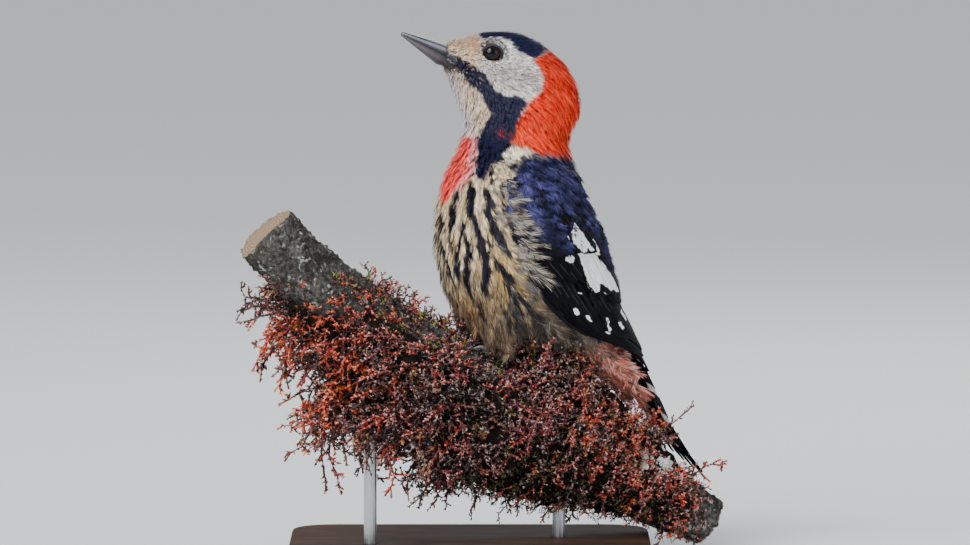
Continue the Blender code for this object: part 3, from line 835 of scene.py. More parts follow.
def grow(
    name, finish, ground, sown, flow, lengths, widths, rises, vanes, rng, colour, tilt=6.0, own=0.15, hug=1.0
):
    """One finished piece of joined feathers. Each takes one of the vanes and follows the ground.

    Sown is the roots, their normals and their places on the map. The share named own is how far
    a feather keeps to its root's colour along its length.
    """
    roots, normals, uv = sown
    places, heads, ups = spines(ground, roots, normals, flow, lengths, hug)
    pick = rng.integers(len(vanes), size=len(roots))
    twist = np.radians(rng.normal(0, tilt, len(roots)))
    points, faces, maps, shades, bases = [], [], [], [], []
    offset = 0
    for number, vane in enumerate(vanes):
        chosen = np.flatnonzero(pick == number)
        if not len(chosen):
            continue
        along, across, height = vane.points.T
        spot = np.clip(along, 0, 0.9999) * (SPINE - 1)
        low = spot.astype(int)
        part = (spot - low)[None, :, None]
        mid = lambda rows: rows[chosen][:, low] * (1 - part) + rows[chosen][:, low + 1] * part
        centre, ahead, up = mid(places), unit(mid(heads)), unit(mid(ups))
        side = np.cross(up, ahead)
        length, width, rise = (v[chosen][:, None] for v in (lengths, widths, rises))
        sway = np.tan(twist[chosen])[:, None] * along[None] * length
        over = np.maximum(along - 1, 0)[None] * length
        high = rise * (0.08 + 0.92 * np.clip(along, 0, 1)[None] ** 0.8) + height[None] * width
        made = centre + side * ((across[None] * width + sway) * MM)[..., None]
        made = made + ahead * (over * MM)[..., None] + up * (high * MM)[..., None]
        points.append(made.reshape(-1, 3))
        count = len(vane.points)
        starts = offset + np.arange(len(chosen)) * count
        faces.append((vane.faces[None] + starts[:, None, None]).reshape(-1, 3))
        patch = uv[chosen][:, None] + np.stack([across, along - 0.5], 1)[None] * TUFT_PATCH
        maps.append(patch.reshape(-1, 2))
        own_shade = rng.normal(0, 0.12, len(chosen))[:, None]
        shades.append((vane.shades[None] + own_shade).ravel())
        shift = rng.normal(0, 0.25, (len(chosen), 1, 3)) * MM
        bases.append((made + (roots[chosen][:, None] - made) * own + shift).reshape(-1, 3))
        offset += count * len(chosen)
    points, faces = np.concatenate(points), np.concatenate(faces)
    tint = colour(np.concatenate(bases))
    maps = np.clip(np.concatenate(maps), *MAP_RANGE)
    numbers = {"gloss": gloss_of(tint), "shade": np.concatenate(shades)}
    piece = array_mesh(name, points, faces, maps, tint, numbers)
    return finished(piece, "plumage", finish)


def lie(points):
    """The way that the coat lies: back over the head, down the neck and trunk."""
    forward, side, up, around = to_bird(points)
    turn = np.abs(around)
    low = np.clip((159 - up) / 15, 0, 1) * (0.35 + 0.65 * step(2, 14, forward))
    back = vectors(-1 + 0.6 * low, 0, -0.3 - 1.3 * low - 0.7 * step(-4, -12, forward))
    flank = step(48, 84, turn) * step(70, 78, up) * step(122, 116, up) * step(120, 100, turn)
    inward = step(96, 84, up) * step(60, 40, turn) * (turn - 24) / 60
    down = vectors(-0.37 - 1.9 * flank, -np.sign(side) * inward, -1 + 0.35 * flank)
    neck = step(134, 144, up)[:, None]
    way = back * neck + down * (1 - neck)
    way = blend(way, (-0.8, 0, -1.0), step(70, 62, up) * step(-6, -14, forward))
    return turned(way + 0.14 * sways(points, (9, 8), (8, 9), (10, 10)), up)


def near_eye(points):
    """Distance from the eye, in eye-ring radii, in the head's side plane."""
    forward, side, up, around = to_bird(points)
    return np.hypot((forward - EYE[0]) / EYE_RING[0], (up - EYE[1]) / EYE_RING[1])


def under_wing(points):
    """True where a folded wing covers the body."""
    forward, side, up, around = to_bird(points)
    lead = np.interp(up, (60, 66, 72, 80, 88, 98, 124), (150, 128, 112, 100, 92, 84, 80))
    inner = np.interp(up, (60, 80, 100, 112, 122), (176, 172, 158, 140, 130))
    return (np.abs(around) > lead + 14) & (np.abs(around) < inner - 8) & (up < 119) & (up > 57)


def make_coat(ground, surface, finish):
    """The body's coat in a few pieces, from tiny face feathers to long loose flank ones."""
    rng = np.random.default_rng(SEED)
    regions = (
        # name, lowest, highest, spacing, length, width, barbs, pieces, leaf, splay, frizz, thick, candidates
        ("coat_head", 150.0, 170.0, 0.56, 2.3, 1.4, 5, 2, 0.66, 1.1, 0.06, 0.045, 20000),
        ("coat_cheeks", 138.0, 150.0, 0.72, 3.2, 1.8, 7, 2, 0.62, 1.1, 0.07, 0.040, 14000),
        ("coat_neck", 122.0, 138.0, 0.95, 4.8, 2.3, 11, 2, 0.45, 1.1, 0.08, 0.032, 11000),
        ("coat_breast", 96.0, 122.0, 1.02, 6.4, 2.6, 14, 2, 0.28, 1.1, 0.08, 0.028, 14000),
        ("coat_belly", 72.0, 96.0, 1.08, 8.0, 2.8, 14, 2, 0.2, 1.2, 0.10, 0.028, 14000),
        ("coat_undertail", 40.0, 72.0, 1.35, 8.2, 3.0, 13, 3, 0.25, 1.2, 0.10, 0.030, 8000),
    )
    for name, low, high, gap, length, width, barbs, parts, leaf, splay, frizz, thick, count in regions:
        vanes = [Vane(rng, barbs, parts, splay, leaf, ovate(0.55), frizz, 0.8, thick) for _ in range(6)]

        def spacing(points, gap=gap):
            forward, side, up, around = to_bird(points)
            small = 1 - 0.3 * step(6, 20, forward) * step(140, 150, up)
            return np.full(len(points), gap) * small

        def keep(points, low=low, high=high):
            up = points[:, 2] / MM
            within = (up >= low) & (up < high) & (near_eye(points) > 0.84) & ~under_wing(points)
            within &= ~(over_mantle(points) & (up < 127.5)) & (bill_wedge(points) < 0.3)
            return within

        sown = ground.scatter(spacing, count, rng, keep)
        spots = sown[0]
        forward, side, up, around = to_bird(spots)
        size = 1 - 0.45 * step(6, 20, forward) * step(144, 150, up)
        size = size * np.interp(near_eye(spots), (1.0, 1.8), (0.6, 1.0))
        size = size * rng.uniform(0.85, 1.15, len(spots))
        rises = (coat_depth(spots) + 0.25) * rng.uniform(0.8, 1.2, len(spots))
        nape = (forward < -6) & (up > 126)
        loose = rng.random(len(spots)) < 0.12 + 0.3 * nape + 0.15 * (forward > 14)
        rises = rises + 1.2 * step(17, 22, forward) * step(158.5, 160.5, up)
        ruffle = loose * rng.uniform(0.2, 1.0, len(spots))
        rises = rises + ruffle * np.interp(up, (126, 150, 160), (0.9, 1.0, 0.3))
        size = size * (1 + 0.7 * (loose & nape))
        hair = inside(forward, up, NAPE, 1.0) * (up > 126)
        long_way, wide_way = length * size * (1 + 0.7 * hair), width * size * (1 - 0.35 * hair)
        rises = rises + 0.5 * hair * rng.random(len(spots))
        hug = 0.3 if name == "coat_undertail" else 1.0
        grow(
            name, finish, surface, sown, lie, long_way, wide_way, rises, vanes, rng, markings,
            6.0, 0.15, hug,
        )


# How far round the body the tips of the flank feathers reach, by height
FLANK_HEIGHTS = (58, 66, 70, 76, 81, 87, 92, 97, 102, 106, 111, 115, 119, 124)
FLANK_TIPS = (146, 122, 108, 92, 82, 78, 85, 86, 80, 82, 79, 79, 70, 66)


def flank_lie(points):
    """The long flank feathers sweep back over the wing's lower edge."""
    forward, side, up, around = to_bird(points)
    drop = np.interp(up, (60, 72, 82, 90, 98, 108, 118), (0.9, 1.0, 1.5, 0.5, 0.25, 0.3, 0.7))
    return turned(vectors(-0.9, 0, -drop) + 0.16 * sways(points, (7, 21), (8, 22), (6, 23)), up)


def vent_lie(points):
    """The plumes under the tail run straight down to its tip."""
    forward, side, up, around = to_bird(points)
    wide = step(60, 110, np.abs(around)) * step(50, 60, up)
    way = vectors(-0.62 - 0.35 * wide, 0.1 * np.sign(side) * wide, -0.8 + 0.42 * wide)
    return turned(way + 0.12 * sways(points, (7, 25), (8, 26)), up)


def thigh_lie(points):
    """The loose feathers over the legs hang straight down."""
    return turned((-0.05, 0, -1.0) + 0.12 * sways(points, (6, 31), (7, 32)), points[:, 2] / MM)


def flank_colour(points):
    """Buff-grey hairs, with coral ones toward the tail."""
    forward, side, up, around = to_bird(points)
    grain = ripple(points, 1.5, 24)
    strokes = step(0.25, 0.5, ripple(points, 5.0, 27, (1, 1, 0.6)))
    strokes = strokes * step(118, 108, up) * step(62, 70, up)
    tail = step(70, 64, up + 0.45 * (forward + 20) + 2.0 * grain) * step(-8, -14, forward)
    coral = blend(CORAL, CORAL_PALE, np.clip(0.45 + 0.8 * grain, 0, 1))
    shafts = step(0.25, 0.5, ripple(points, 3.0, 29, (1, 1, 0.5)))
    return layered(
        FLANK_GREY,
        (BREAST_PALE, np.clip(0.2 + 0.5 * grain, 0, 1)),
        (BELLY_GREY, step(92, 80, up) * 0.6),
        (STREAK_BLACK, strokes * 0.75),
        (DASH_BROWN, step(0.0, 0.6, grain) * 0.8),
        (STREAK_BLACK, step(0.3, 0.5, ripple(points, 1.9, 30)) * 0.8),
        (blend(coral, SHAFT_BROWN, shafts * 0.85), tail),
    )


def make_flanks(ground, surface, finish):
    """Loose hair-like feathers of the flanks and vent, whose tips lie over the wings."""
    rng = np.random.default_rng(SEED + 10)
    vanes = [Vane(rng, 11, 3, 1.5, 0.0, ovate(0.4), 0.10, 0.8, 0.013) for _ in range(8)]

    def keep(points):
        forward, side, up, around = to_bird(points)
        turn = np.abs(around)
        tip = np.interp(up, FLANK_HEIGHTS, FLANK_TIPS)
        reach = 20 - 6 * step(110, 122, up)
        return (turn < tip - reach + 4) & (turn > tip - reach - 16) & (up > 61) & (up < 121)

    sown = ground.scatter(1.45, 8000, rng, keep)
    spots = sown[0]
    up = spots[:, 2] / MM
    size = rng.uniform(0.7, 1.15, len(spots)) * np.interp(up, (60, 80, 108, 120), (1.1, 1.1, 0.95, 0.7))
    rises = rng.uniform(1.9, 3.3, len(spots))
    grow(
        "coat_flanks", finish, surface, sown, flank_lie, 10.5 * size, 2.9 * size, rises, vanes, rng,
        flank_colour, 12.0, 0.8,
    )
    vanes = [Vane(rng, 14, 3, 1.2, 0.15, ovate(0.45), 0.10, 0.8, 0.028) for _ in range(8)]

    def vent(points):
        forward, side, up, around = to_bird(points)
        return (up < 66 + 0.25 * (-forward - 20)) & (forward < -10)

    sown = ground.scatter(1.6, 4000, rng, vent)
    spots = sown[0]
    forward, side, up, around = to_bird(spots)
    size = rng.uniform(0.85, 1.15, len(spots))
    rises = rng.uniform(1.6, 3.8, len(spots))
    lengths = 13.0 * size * np.interp(up, (54, 60, 66), (1.55, 1.0, 0.7))
    grow(
        "undertail_plumes", finish, ground, sown, vent_lie, lengths, 3.4 * size, rises, vanes, rng,
        flank_colour, 10.0, 0.5, 0.08,
    )

    def thighs(points):
        forward, side, up, around = to_bird(points)
        return (up > 67) & (up < 82) & (np.abs(around) < 84) & (forward > -14)

    sown = ground.scatter(1.85, 3000, rng, thighs)
    spots = sown[0]
    size = rng.uniform(0.8, 1.2, len(spots))
    rises = rng.uniform(1.3, 2.8, len(spots))
    lengths = 9.0 * size * np.interp(spots[:, 2] / MM, (67, 74, 82), (0.75, 1.0, 0.9))
    grow(
        "thigh_plumes", finish, ground, sown, thigh_lie, lengths, 3.2 * size, rises, vanes, rng,
        markings, 8.0, 0.5, 0.15,
    )


# ---------------------------------------------------------------- wings

WING_PARTS = ("shoulder", "secondaries", "primaries")
DEGREE = 25 * pi / 180  # millimetres for each degree round the folded wing
WING_SIDE = {"L": 1, "R": -1}

# Places on the folded wing are (height, degrees round the body from the breast)
PATCH_UPPER = (
    (106.6, 115.6), (104.9, 118.5), (103.5, 121), (101.7, 124), (99.1, 128), (97.5, 130.5), (97.5, 125.5),
    (98.8, 123.2), (97.4, 121.5), (97.2, 117.5), (99.2, 111.5), (101.3, 109.3), (103.7, 110), (105.2, 113.6),
)
PATCH_LOWER = (
    (97.0, 113.5), (96.4, 124), (97.0, 134.5), (93.6, 140), (89.9, 147.5), (87, 151), (84, 152),
    (83.9, 146.5), (85.3, 143.5), (84.3, 140), (85.9, 136), (87.2, 129.5), (84.7, 127), (84.8, 121),
    (86.6, 117), (92.2, 115.6),
)
PATCH_SLIVER = ((102.2, 131), (99.5, 134.5), (96.8, 136.2), (96.8, 134), (99.5, 132.6))
WING_SPOTS = (
    # height, degrees, half height, half width
    (101.7, 104.5, 1.3, 1.05), (95.5, 105.5, 1.5, 1.5), (84.6, 108, 0.4, 1.0), (84.0, 132, 0.5, 0.5),
    (79.0, 98.5, 1.3, 1.1), (76.6, 107, 1.25, 1.0), (75.8, 127, 0.7, 0.7), (73.6, 122.5, 1.3, 0.9),
    (71.8, 117, 0.9, 1.0), (73.5, 139, 1.3, 1.3), (76.5, 153, 1.9, 1.4), (63.4, 168, 2.2, 1.4),
)
PATCHES = [
    [(degrees * DEGREE, height) for height, degrees in outline]
    for outline in (PATCH_UPPER, PATCH_LOWER, PATCH_SLIVER)
]
COVERT_BLUE_SHEEN = srgb(66, 66, 112)

# Rows of large feathers. Each has the first one's root and tip, and how far both run on to the
# last one, as (height, degrees); then width, lift at root and tip, and rise from one to the next;
# then roundness and sag, how the tips' heights curve, and a step up of every second tip.
FLIGHT_ROWS = (
    (7, (93, 78), (-3, 30), (68, 120), (-5, 24), 6.4, (0.15, 0.25), 0.1, 0.55, -6, 1, 0),
    (7, (96, 104), (-2, 48), (70, 138), (-12, 31), 7.0, (0.5, 0.95), 0.1, 0.85, -3, 2, 0),
    (8, (107, 78), (-4, 34), (89, 94), (-2, 34), 5.8, (0.6, 1.45), 0.06, 0.9, -2, 1, 1.5),
    (3, (101, 140), (2, 18), (80, 158), (8, 14), 7.5, (0.9, 1.75), 0.1, 0.9, 0, 1, 0),
)
PATCH_ROWS = (
    (5, (103, 106), (-1.2, 28), (84.2, 121.5), (-1.6, 32), 5.6, (1.1, 2.1), 0.12, 0.95, 0, 1, 0),
    (4, (111, 103), (-1.8, 15), (97, 111), (-1.2, 24), 4.8, (1.3, 2.35), 0.1, 0.95, 0, 1, 0),
)


def wing_colour(points):
    """Glossy blue at the shoulder and black below."""
    forward, side, up, around = to_bird(points)
    turn = np.abs(around)
    drift = ripple(points, 8.0, 11)
    # The blue is partly the feathers' own blue-black and partly painted sheen; black gaps break it into lit
    # strands.
    blue_sheen = step(93, 108, up + 0.16 * (turn - 110) + 3 * drift) * np.clip(0.8 + 0.5 * drift, 0, 1)
    gaps = step(-0.2, 0.7, ripple(points, 2.4, 12, (1, 1, 0.6)))
    return blend(WING_BLACK, COVERT_BLUE_SHEEN, blue_sheen * (1 - 0.94 * gaps))


def make_underwing(side):
    """The dark closed body of one folded wing, under its feathers."""
    name = f"wing_{side}_"
    wing = merged_copy([name + part for part in WING_PARTS], f"underwing_{side}", 0.35)
    points, normals = smoothed_remesh(wing, 0.6, 8)
    forward, side_way, up, around = to_bird(points)
    middle = middle_line(up)
    sunk = 1.3 * step(116, 123, up) + 1.2 * step(92, 74, np.abs(around)) * step(84, 92, up)
    sunk = sunk + 2.0 * step(98, 126, np.abs(around)) * step(70, 82, up) * step(122, 114, up)
    points = points + unit(middle - points) * sunk[:, None] * MM
    set_points(wing.data, points - normals * 0.7 * MM)
    unwrap(wing)
    count = len(wing.data.vertices)
    numbers = {"gloss": np.ones(count), "shade": np.full(count, 0.35)}
    paint(wing.data, np.tile(WING_BLACK, (count, 1)), numbers)
    return wing


def outer_points(surface, up, around):
    """Points of the surface seen from outside, at heights and degrees round the body."""
    middle = np.interp(up, AXIS_HEIGHTS, AXIS_FORWARD)
    turn = np.radians(around)
    start = from_bird(middle + 60 * np.cos(turn), 60 * np.sin(turn), up)
    end = middle_line(up)
    spots, normals = [], []
    for near, far in zip(start, end):
        way = Vector(far - near).normalized()
        hit = surface.tree.ray_cast(Vector(near), way)
        if hit[0] is None:
            hit = surface.tree.find_nearest(Vector(near - (near - far) * 0.58))
        spots.append(hit[0])
        normals.append(hit[1] if hit[1].dot(way) < 0 else -hit[1])
    return np.array(spots), np.array(normals)


class Sheets:
    """Closed thin feathers, each a grid of points with its own patch of the map."""

    def __init__(self):
        self.points, self.faces, self.vanes, self.count = [], [], [], 0

    def add(self, grid, ups, thickness=0.12):
        """Adds one feather from a grid of points (along, across) and their upward directions."""
        rows, columns = grid.shape[:2]
        under = grid - ups * thickness * MM
        self.points.append(np.concatenate([grid.reshape(-1, 3), under.reshape(-1, 3)]))
        number = np.arange(rows * columns).reshape(rows, columns)
        a, b = number[:-1, :-1].ravel(), number[:-1, 1:].ravel()
        c, d = number[1:, 1:].ravel(), number[1:, :-1].ravel()
        top = np.concatenate([np.stack([a, c, b], 1), np.stack([a, d, c], 1)])
        low = top[:, ::-1] + rows * columns
        rim = np.concatenate([number[::-1, 0], number[0, 1:], number[1:, -1], number[-1, -2:0:-1]])
        after = np.roll(rim, -1)
        under_rim, under_after = rim + rows * columns, after + rows * columns
        walls = np.stack([rim, under_after, under_rim], 1), np.stack([rim, after, under_after], 1)
        self.faces.append(np.concatenate([top, low, *walls]) + self.count)
        along, across = np.meshgrid(np.linspace(0, 1, rows), np.linspace(-1, 1, columns), indexing="ij")
        self.vanes.append(np.tile(np.stack([along.ravel(), across.ravel()], 1), (2, 1)))
        self.count += 2 * rows * columns

    def bake_map(self):
        """Each feather's own cell of a square of cells, its two faces side by side."""
        across = int(np.ceil(sqrt(len(self.vanes))))
        made = []
        for cell, flat in enumerate(self.vanes):
            place = np.stack([0.25 + 0.2 * flat[:, 1], 0.1 + 0.8 * flat[:, 0]], 1)
            place[len(flat) // 2 :, 0] += 0.5
            made.append((place + np.array([cell % across, cell // across])) / across)
        return np.concatenate(made)

    def piece(self, name, colour, spots=None):
        points, faces, vanes = map(np.concatenate, (self.points, self.faces, self.vanes))
        tint = np.tile(colour, (len(points), 1))
        numbers = {"gloss": np.ones(len(points)), "along": vanes[:, 0], "across": vanes[:, 1]}
        if spots is not None:
            numbers["pale"] = spots(points, vanes)
        return array_mesh(name, points, faces, self.bake_map(), tint, numbers)


def vane_half(share, tip, root=0.35):
    """Half the width of a flight feather by share of its length, for a tip from 0 sharp to 1 round."""
    rise = root + (1 - root) * np.clip(share / 0.35, 0, 1) ** 0.7
    taper = 0.28 + 0.2 * (1 - tip)
    fall = np.clip(1 - (np.clip(share - (1 - taper), 0, 1) / taper) ** (1.3 + 1.2 * tip), 0, 1)
    return rise * fall ** (0.5 + 0.25 * (1 - tip)) + 0.01


def lay_feather(sheets, surface, root, tip, width, lift, sign, rng, round_tip, sag):
    """One flight feather or covert on the wing, from root to tip, each as (height, degrees)."""
    rows, columns = 29, 9
    share = np.linspace(0, 1, rows)
    up = root[0] + (tip[0] - root[0]) * share
    around = root[1] + (tip[1] - root[1]) * share + sag * np.sin(share * pi)
    middle, normals = outer_points(surface, up, around * sign)
    ahead = unit(np.gradient(middle, axis=0))
    normals = unit(normals)
    side = unit(np.cross(normals, ahead)) * sign
    half = width / 2 * vane_half(share, round_tip)
    across = np.linspace(-1, 1, columns)
    flat = middle[:, None] + side[:, None] * (across[None, :, None] * half[:, None, None] * MM)
    spots, ups = surface.nearest(flat.reshape(-1, 3))
    ups = unit(0.5 * ups + 0.5 * np.repeat(normals, columns, axis=0)).reshape(rows, columns, 3)
    spots = spots.reshape(rows, columns, 3)
    height = lift[0] + (lift[1] - lift[0]) * share[:, None] - 0.22 * across[None] ** 2 * half[:, None] / 3
    height = height + 0.05 * np.sin(share[:, None] * 9 + rng.random() * 6) * across[None]
    grid = 0.5 * (spots + flat) + ups * height[..., None] * MM
    if sign < 0:
        grid, ups = grid[:, ::-1], ups[:, ::-1]
    sheets.add(grid, ups)


def lay_row(
    sheets, surface, sign, rng, count, root, root_run, tip, tip_run, width, lift, rise, rounded, sag,
    curve, zigzag,
):
    """A row of overlapping feathers, each a little higher than the one before."""
    for number in range(count):
        share = number / (count - 1)
        start = (root[0] + root_run[0] * share, root[1] + root_run[1] * share)
        end = (
            tip[0] + tip_run[0] * share**curve + zigzag * (number % 2),
            tip[1] + tip_run[1] * share,
        )
        lifts = (lift[0], lift[1] + rise * number)
        lay_feather(sheets, surface, start, end, width, lifts, sign, rng, rounded, sag)


def pale_marks(points, vanes):
    """White marks of the folded wing, as how far inside the nearest mark a point lies."""
    forward, side, up, around = to_bird(points)
    turn = np.abs(around) + 3.2 * step(80, 90, up)
    pale = np.full(len(up), -2.0)
    for outline in PATCHES:
        pale = np.maximum(pale, margin(turn * DEGREE, up, outline))
    for height, degrees, tall, wide in WING_SPOTS:
        gap = np.hypot((up - height) / tall, (turn - degrees) * DEGREE / wide)
        pale = np.maximum(pale, (1.0 - gap) * 0.9)
    return pale + 0.3 * ripple(points, 1.7, 28)


def make_wing(side, under, surface, outside, finishes):
    """One folded wing: flight feathers, coverts that bear the white patch, and small coverts."""
    sign = WING_SIDE[side]
    rng = np.random.default_rng(SEED + 20)
    for name, rows in (("flight_feathers", FLIGHT_ROWS), ("patch_coverts", PATCH_ROWS)):
        sheets = Sheets()
        for row in rows:
            lay_row(sheets, surface, sign, rng, *row)
        piece = sheets.piece(f"{name}_{side}", WING_BLACK, pale_marks)
        finished(piece, "flight_feathers", finishes["flight"])

    ground = Ground(under)
    vanes = [Vane(rng, 9, 2, 1.02, 0.93, ovate(0.62, 0.5), 0.03, 1.0) for _ in range(5)]

    def keep(points):
        forward, side_way, up, around = to_bird(points)
        turn = np.abs(around)
        low = np.interp(turn, (80, 104, 112, 125, 150, 176), (100, 102, 105, 102, 91, 83))
        return (up > low) & ~on_patch(points, 6.0) & (turn > 60)

    gap = lambda points: 1.5 + 0.35 * step(112, 100, points[:, 2] / MM)
    spots, normals, uv = ground.scatter(gap, 9000, rng, keep)
    outer = unit(spots - middle_line(spots[:, 2] / MM))
    shown = (outer * normals).sum(axis=1) > 0.15
    sown = spots[shown], normals[shown], uv[shown]
    spots = sown[0]
    up = spots[:, 2] / MM
    size = rng.uniform(0.85, 1.15, len(spots)) * (1 + 0.35 * step(114, 100, up))
    rises = (1.2 + 1.2 * step(116, 104, up)) * rng.uniform(0.85, 1.1, len(spots))
    grow(
        f"coverts_{side}", finishes["coverts"], outside, sown, wing_lie, 5.6 * size, 3.9 * size,
        rises, vanes, rng, wing_colour, 5.0,
    )


def on_patch(points, reach):
    """True where a small feather of the given reach would lie over the white patch."""
    inside_any = np.zeros(len(points), bool)
    for share in (0.35, 0.9):
        forward, side, up, around = to_bird(points + unit(wing_lie(points)) * reach * share * MM)
        for outline in PATCHES[:2]:
            inside_any |= inside(np.abs(around) * DEGREE, up, outline, 0.2) > 0.5
    return inside_any


def over_mantle(points):
    """True on the back and shoulders, where the blue mantle feathers grow."""
    forward, side, up, around = to_bird(points)
    low = np.interp(up, (60, 100, 112, 117, 119, 123, 127, 129), (150, 128, 108, 84, 70, 74, 84, 104))
    return (np.abs(around) > low) & (up < 129) & (up > 86)


def wing_lie(points):
    """The way that the wing's small feathers lie, down and back."""
    forward, side, up, around = to_bird(points)
    back = -0.45 - 0.4 * step(116, 100, up)
    way = vectors(back, -0.25 * np.sign(side) * step(110, 150, np.abs(around)), -1)
    return turned(way + 0.12 * sways(points, (9, 13), (8, 14)), up)


def make_mantle(ground, outside, finishes):
    """The glossy back between the wings, and the feathers that fall over their inner edges."""
    rng = np.random.default_rng(SEED + 30)
    vanes = [Vane(rng, 10, 2, 1.05, 0.88, ovate(0.6, 0.5), 0.05, 0.95) for _ in range(5)]

    def keep(points):
        return over_mantle(points) & ~on_patch(points, 7.0)

    sown = ground.scatter(1.45, 9000, rng, keep)
    spots = sown[0]
    size = rng.uniform(0.85, 1.15, len(spots)) * (1 + 0.3 * step(118, 100, spots[:, 2] / MM))
    rises = 1.9 * rng.uniform(0.8, 1.1, len(spots))
    grow(
        "mantle", finishes["coverts"], outside, sown, wing_lie, 6.6 * size, 4.0 * size, rises,
        vanes, rng, wing_colour, 6.0,
    )


# ---------------------------------------------------------------- tail

TAIL_LINE = ((-37.6, 64.0), (-41.6, 54.4), (-47.4, 41.8), (-54.2, 31.8), (-60.4, 24.4))
RECTRICES = (
    # share of the tail's length, distance aside at the root and at the tip, half width, layer
    (1.0, 0.8, 0.5, 2.1, 0), (0.955, 1.8, 2.3, 2.3, 1), (0.88, 2.9, 4.0, 2.4, 2),
    (0.8, 4.0, 6.2, 2.7, 3), (0.68, 5.0, 7.6, 2.7, 4),
)


def along_line(line, share):
    """A point at a share of a line's length, for a line given by a few points."""
    line = np.asarray(line, float)
    lengths = np.concatenate([[0], np.cumsum(np.hypot(*np.diff(line, axis=0).T))])
    return np.stack([np.interp(share * lengths[-1], lengths, line[:, k]) for k in (0, 1)], -1)


TAIL_GRID = (37, 7)  # points along and across one tail feather


def make_tail(finish):
    """Ten stiff pointed tail feathers, the middle pair on top."""
    sheets = Sheets()
    bars = []
    share, columns = np.linspace(0, 1, TAIL_GRID[0]), np.linspace(-1, 1, TAIL_GRID[1])
    for length, root, tip, half, layer in RECTRICES:
        for sign in (1, -1):
            line = along_line(TAIL_LINE, share * length)
            ahead = unit(np.gradient(line, axis=0))
            back = np.stack([ahead[:, 1], -ahead[:, 0]], 1)
            aside = sign * (root + (tip - root) * share**0.8)
            width = half * vane_half(share, 0.0, 0.6)
            across = aside[:, None] + columns[None] * width[:, None]
            depth = 1.5 - 0.42 * layer - 0.2 * (sign < 0)
            depth = depth + 0.35 * share[:, None] - 0.3 * columns[None] ** 2
            forward = line[:, None, 0] + back[:, None, 0] * depth
            up = line[:, None, 1] + back[:, None, 1] * depth
            grid = from_bird(forward, across, up)
            ups = turned(vectors(back[:, 0], 0, back[:, 1]), up[:, 2])
            sheets.add(grid[:, ::-1], np.repeat(ups[:, None], len(columns), axis=1), 0.2)
            bars.append(np.full(2 * grid.shape[0] * grid.shape[1], layer >= 3))
    bars = np.concatenate(bars)

    def pale(points, vanes):
        along, across = vanes.T
        wave = np.cos((along - 0.06) * 2 * pi * 3.0 + 0.6 * across)
        return np.where(bars, (wave - 0.62) * 1.8, -2.0)

    piece = sheets.piece("tail_feathers", WING_BLACK, pale)
    finished(piece, "flight_feathers", finish, "tail_middle", "tail_left", "tail_right")


def flight_finish(name="flight_vanes", shine=0.07):
    """Stiff feathers: a shaft line, fine barbs, and white spots with crisp edges."""
    finish = Finish(name, Specular_IOR_Level=shine)
    along, across, pale = (finish.attribute(name) for name in ("along", "across", "pale"))
    barbs = ((along + across.absolute() * -0.12) * 420.0).sine()
    shaft = across.absolute().clamped(0.03, 0.09, 1.0, 0.0)
    ragged = finish.noise(finish.place(), 1.6, 2.0)
    white = (pale + ragged * 0.5 - 0.25).clamped(-0.06, 0.08)
    tint = finish.mix(white, finish.tint(), tuple(WHITE))
    tint = finish.mix(shaft * 0.25, tint, (0.10, 0.09, 0.09))
    light = barbs * 0.06 + ragged * 0.2 + 0.95
    finish.tinted(tint, light)
    finish.set("Roughness", white * 0.35 + 0.38)
    finish.relief(barbs * 0.5 + shaft * 1.5, 0.05, 0.6)
    return finish.material


# ---------------------------------------------------------------- perch

# The branch's middle line and thickness, as (x, height, radius)
PERCH_LINE = (
    (-63, 104, 10.6), (-49, 89.6, 10.4), (-22, 70.6, 10.2),
    (8, 52.8, 10.0), (41, 31.8, 9.4), (75, 9.8, 8.0),
)
PERCH_YAW = 20.0
PERCH_SHIFT_Y = -2.9
FEET_POINT = 3
PERCH_SPOTS = np.array([(x, (x - 8) * tan(radians(PERCH_YAW)) + PERCH_SHIFT_Y, z) for x, z, _ in PERCH_LINE])
PERCH_RADII = np.array([radius for _, _, radius in PERCH_LINE])


def perch_middle(x):
    """Points on the branch's middle line, in millimetres."""
    return vectors(x, *(np.interp(x, PERCH_SPOTS[:, 0], PERCH_SPOTS[:, k]) for k in (1, 2)))


def perch_place(points):
    """Share of the branch's length and how far points lie from its line, in millimetres."""
    x, y, z = (points / MM).T
    line = PERCH_SPOTS[:, ::2]
    best, share = np.full(len(x), 1e9), np.zeros(len(x))
    for number, ((x0, z0), (x1, z1)) in enumerate(zip(line[:-1], line[1:])):
        length2 = (x1 - x0) ** 2 + (z1 - z0) ** 2
        part = np.clip(((x - x0) * (x1 - x0) + (z - z0) * (z1 - z0)) / length2, 0, 1)
        middle_y = (x0 + part * (x1 - x0) - 8) * tan(radians(PERCH_YAW)) + PERCH_SHIFT_Y
        over, above = x - x0 - part * (x1 - x0), z - z0 - part * (z1 - z0)
        gap = np.sqrt(over**2 + above**2 + (y - middle_y) ** 2)
        nearer = gap < best
        best = np.where(nearer, gap, best)
        share = np.where(nearer, (number + part) / (len(line) - 1), share)
    return share, best


def unwrap(obj):
    """Unwraps a closed shape on the map named OFBake."""
    only(obj)
    bpy.ops.object.mode_set(mode="EDIT")
    bpy.ops.mesh.select_all(action="SELECT")
    bpy.ops.uv.smart_project(angle_limit=radians(66), island_margin=0.004)
    bpy.ops.object.mode_set(mode="OBJECT")
    obj.data.uv_layers[0].name = "OFBake"
    obj.data.shade_smooth()


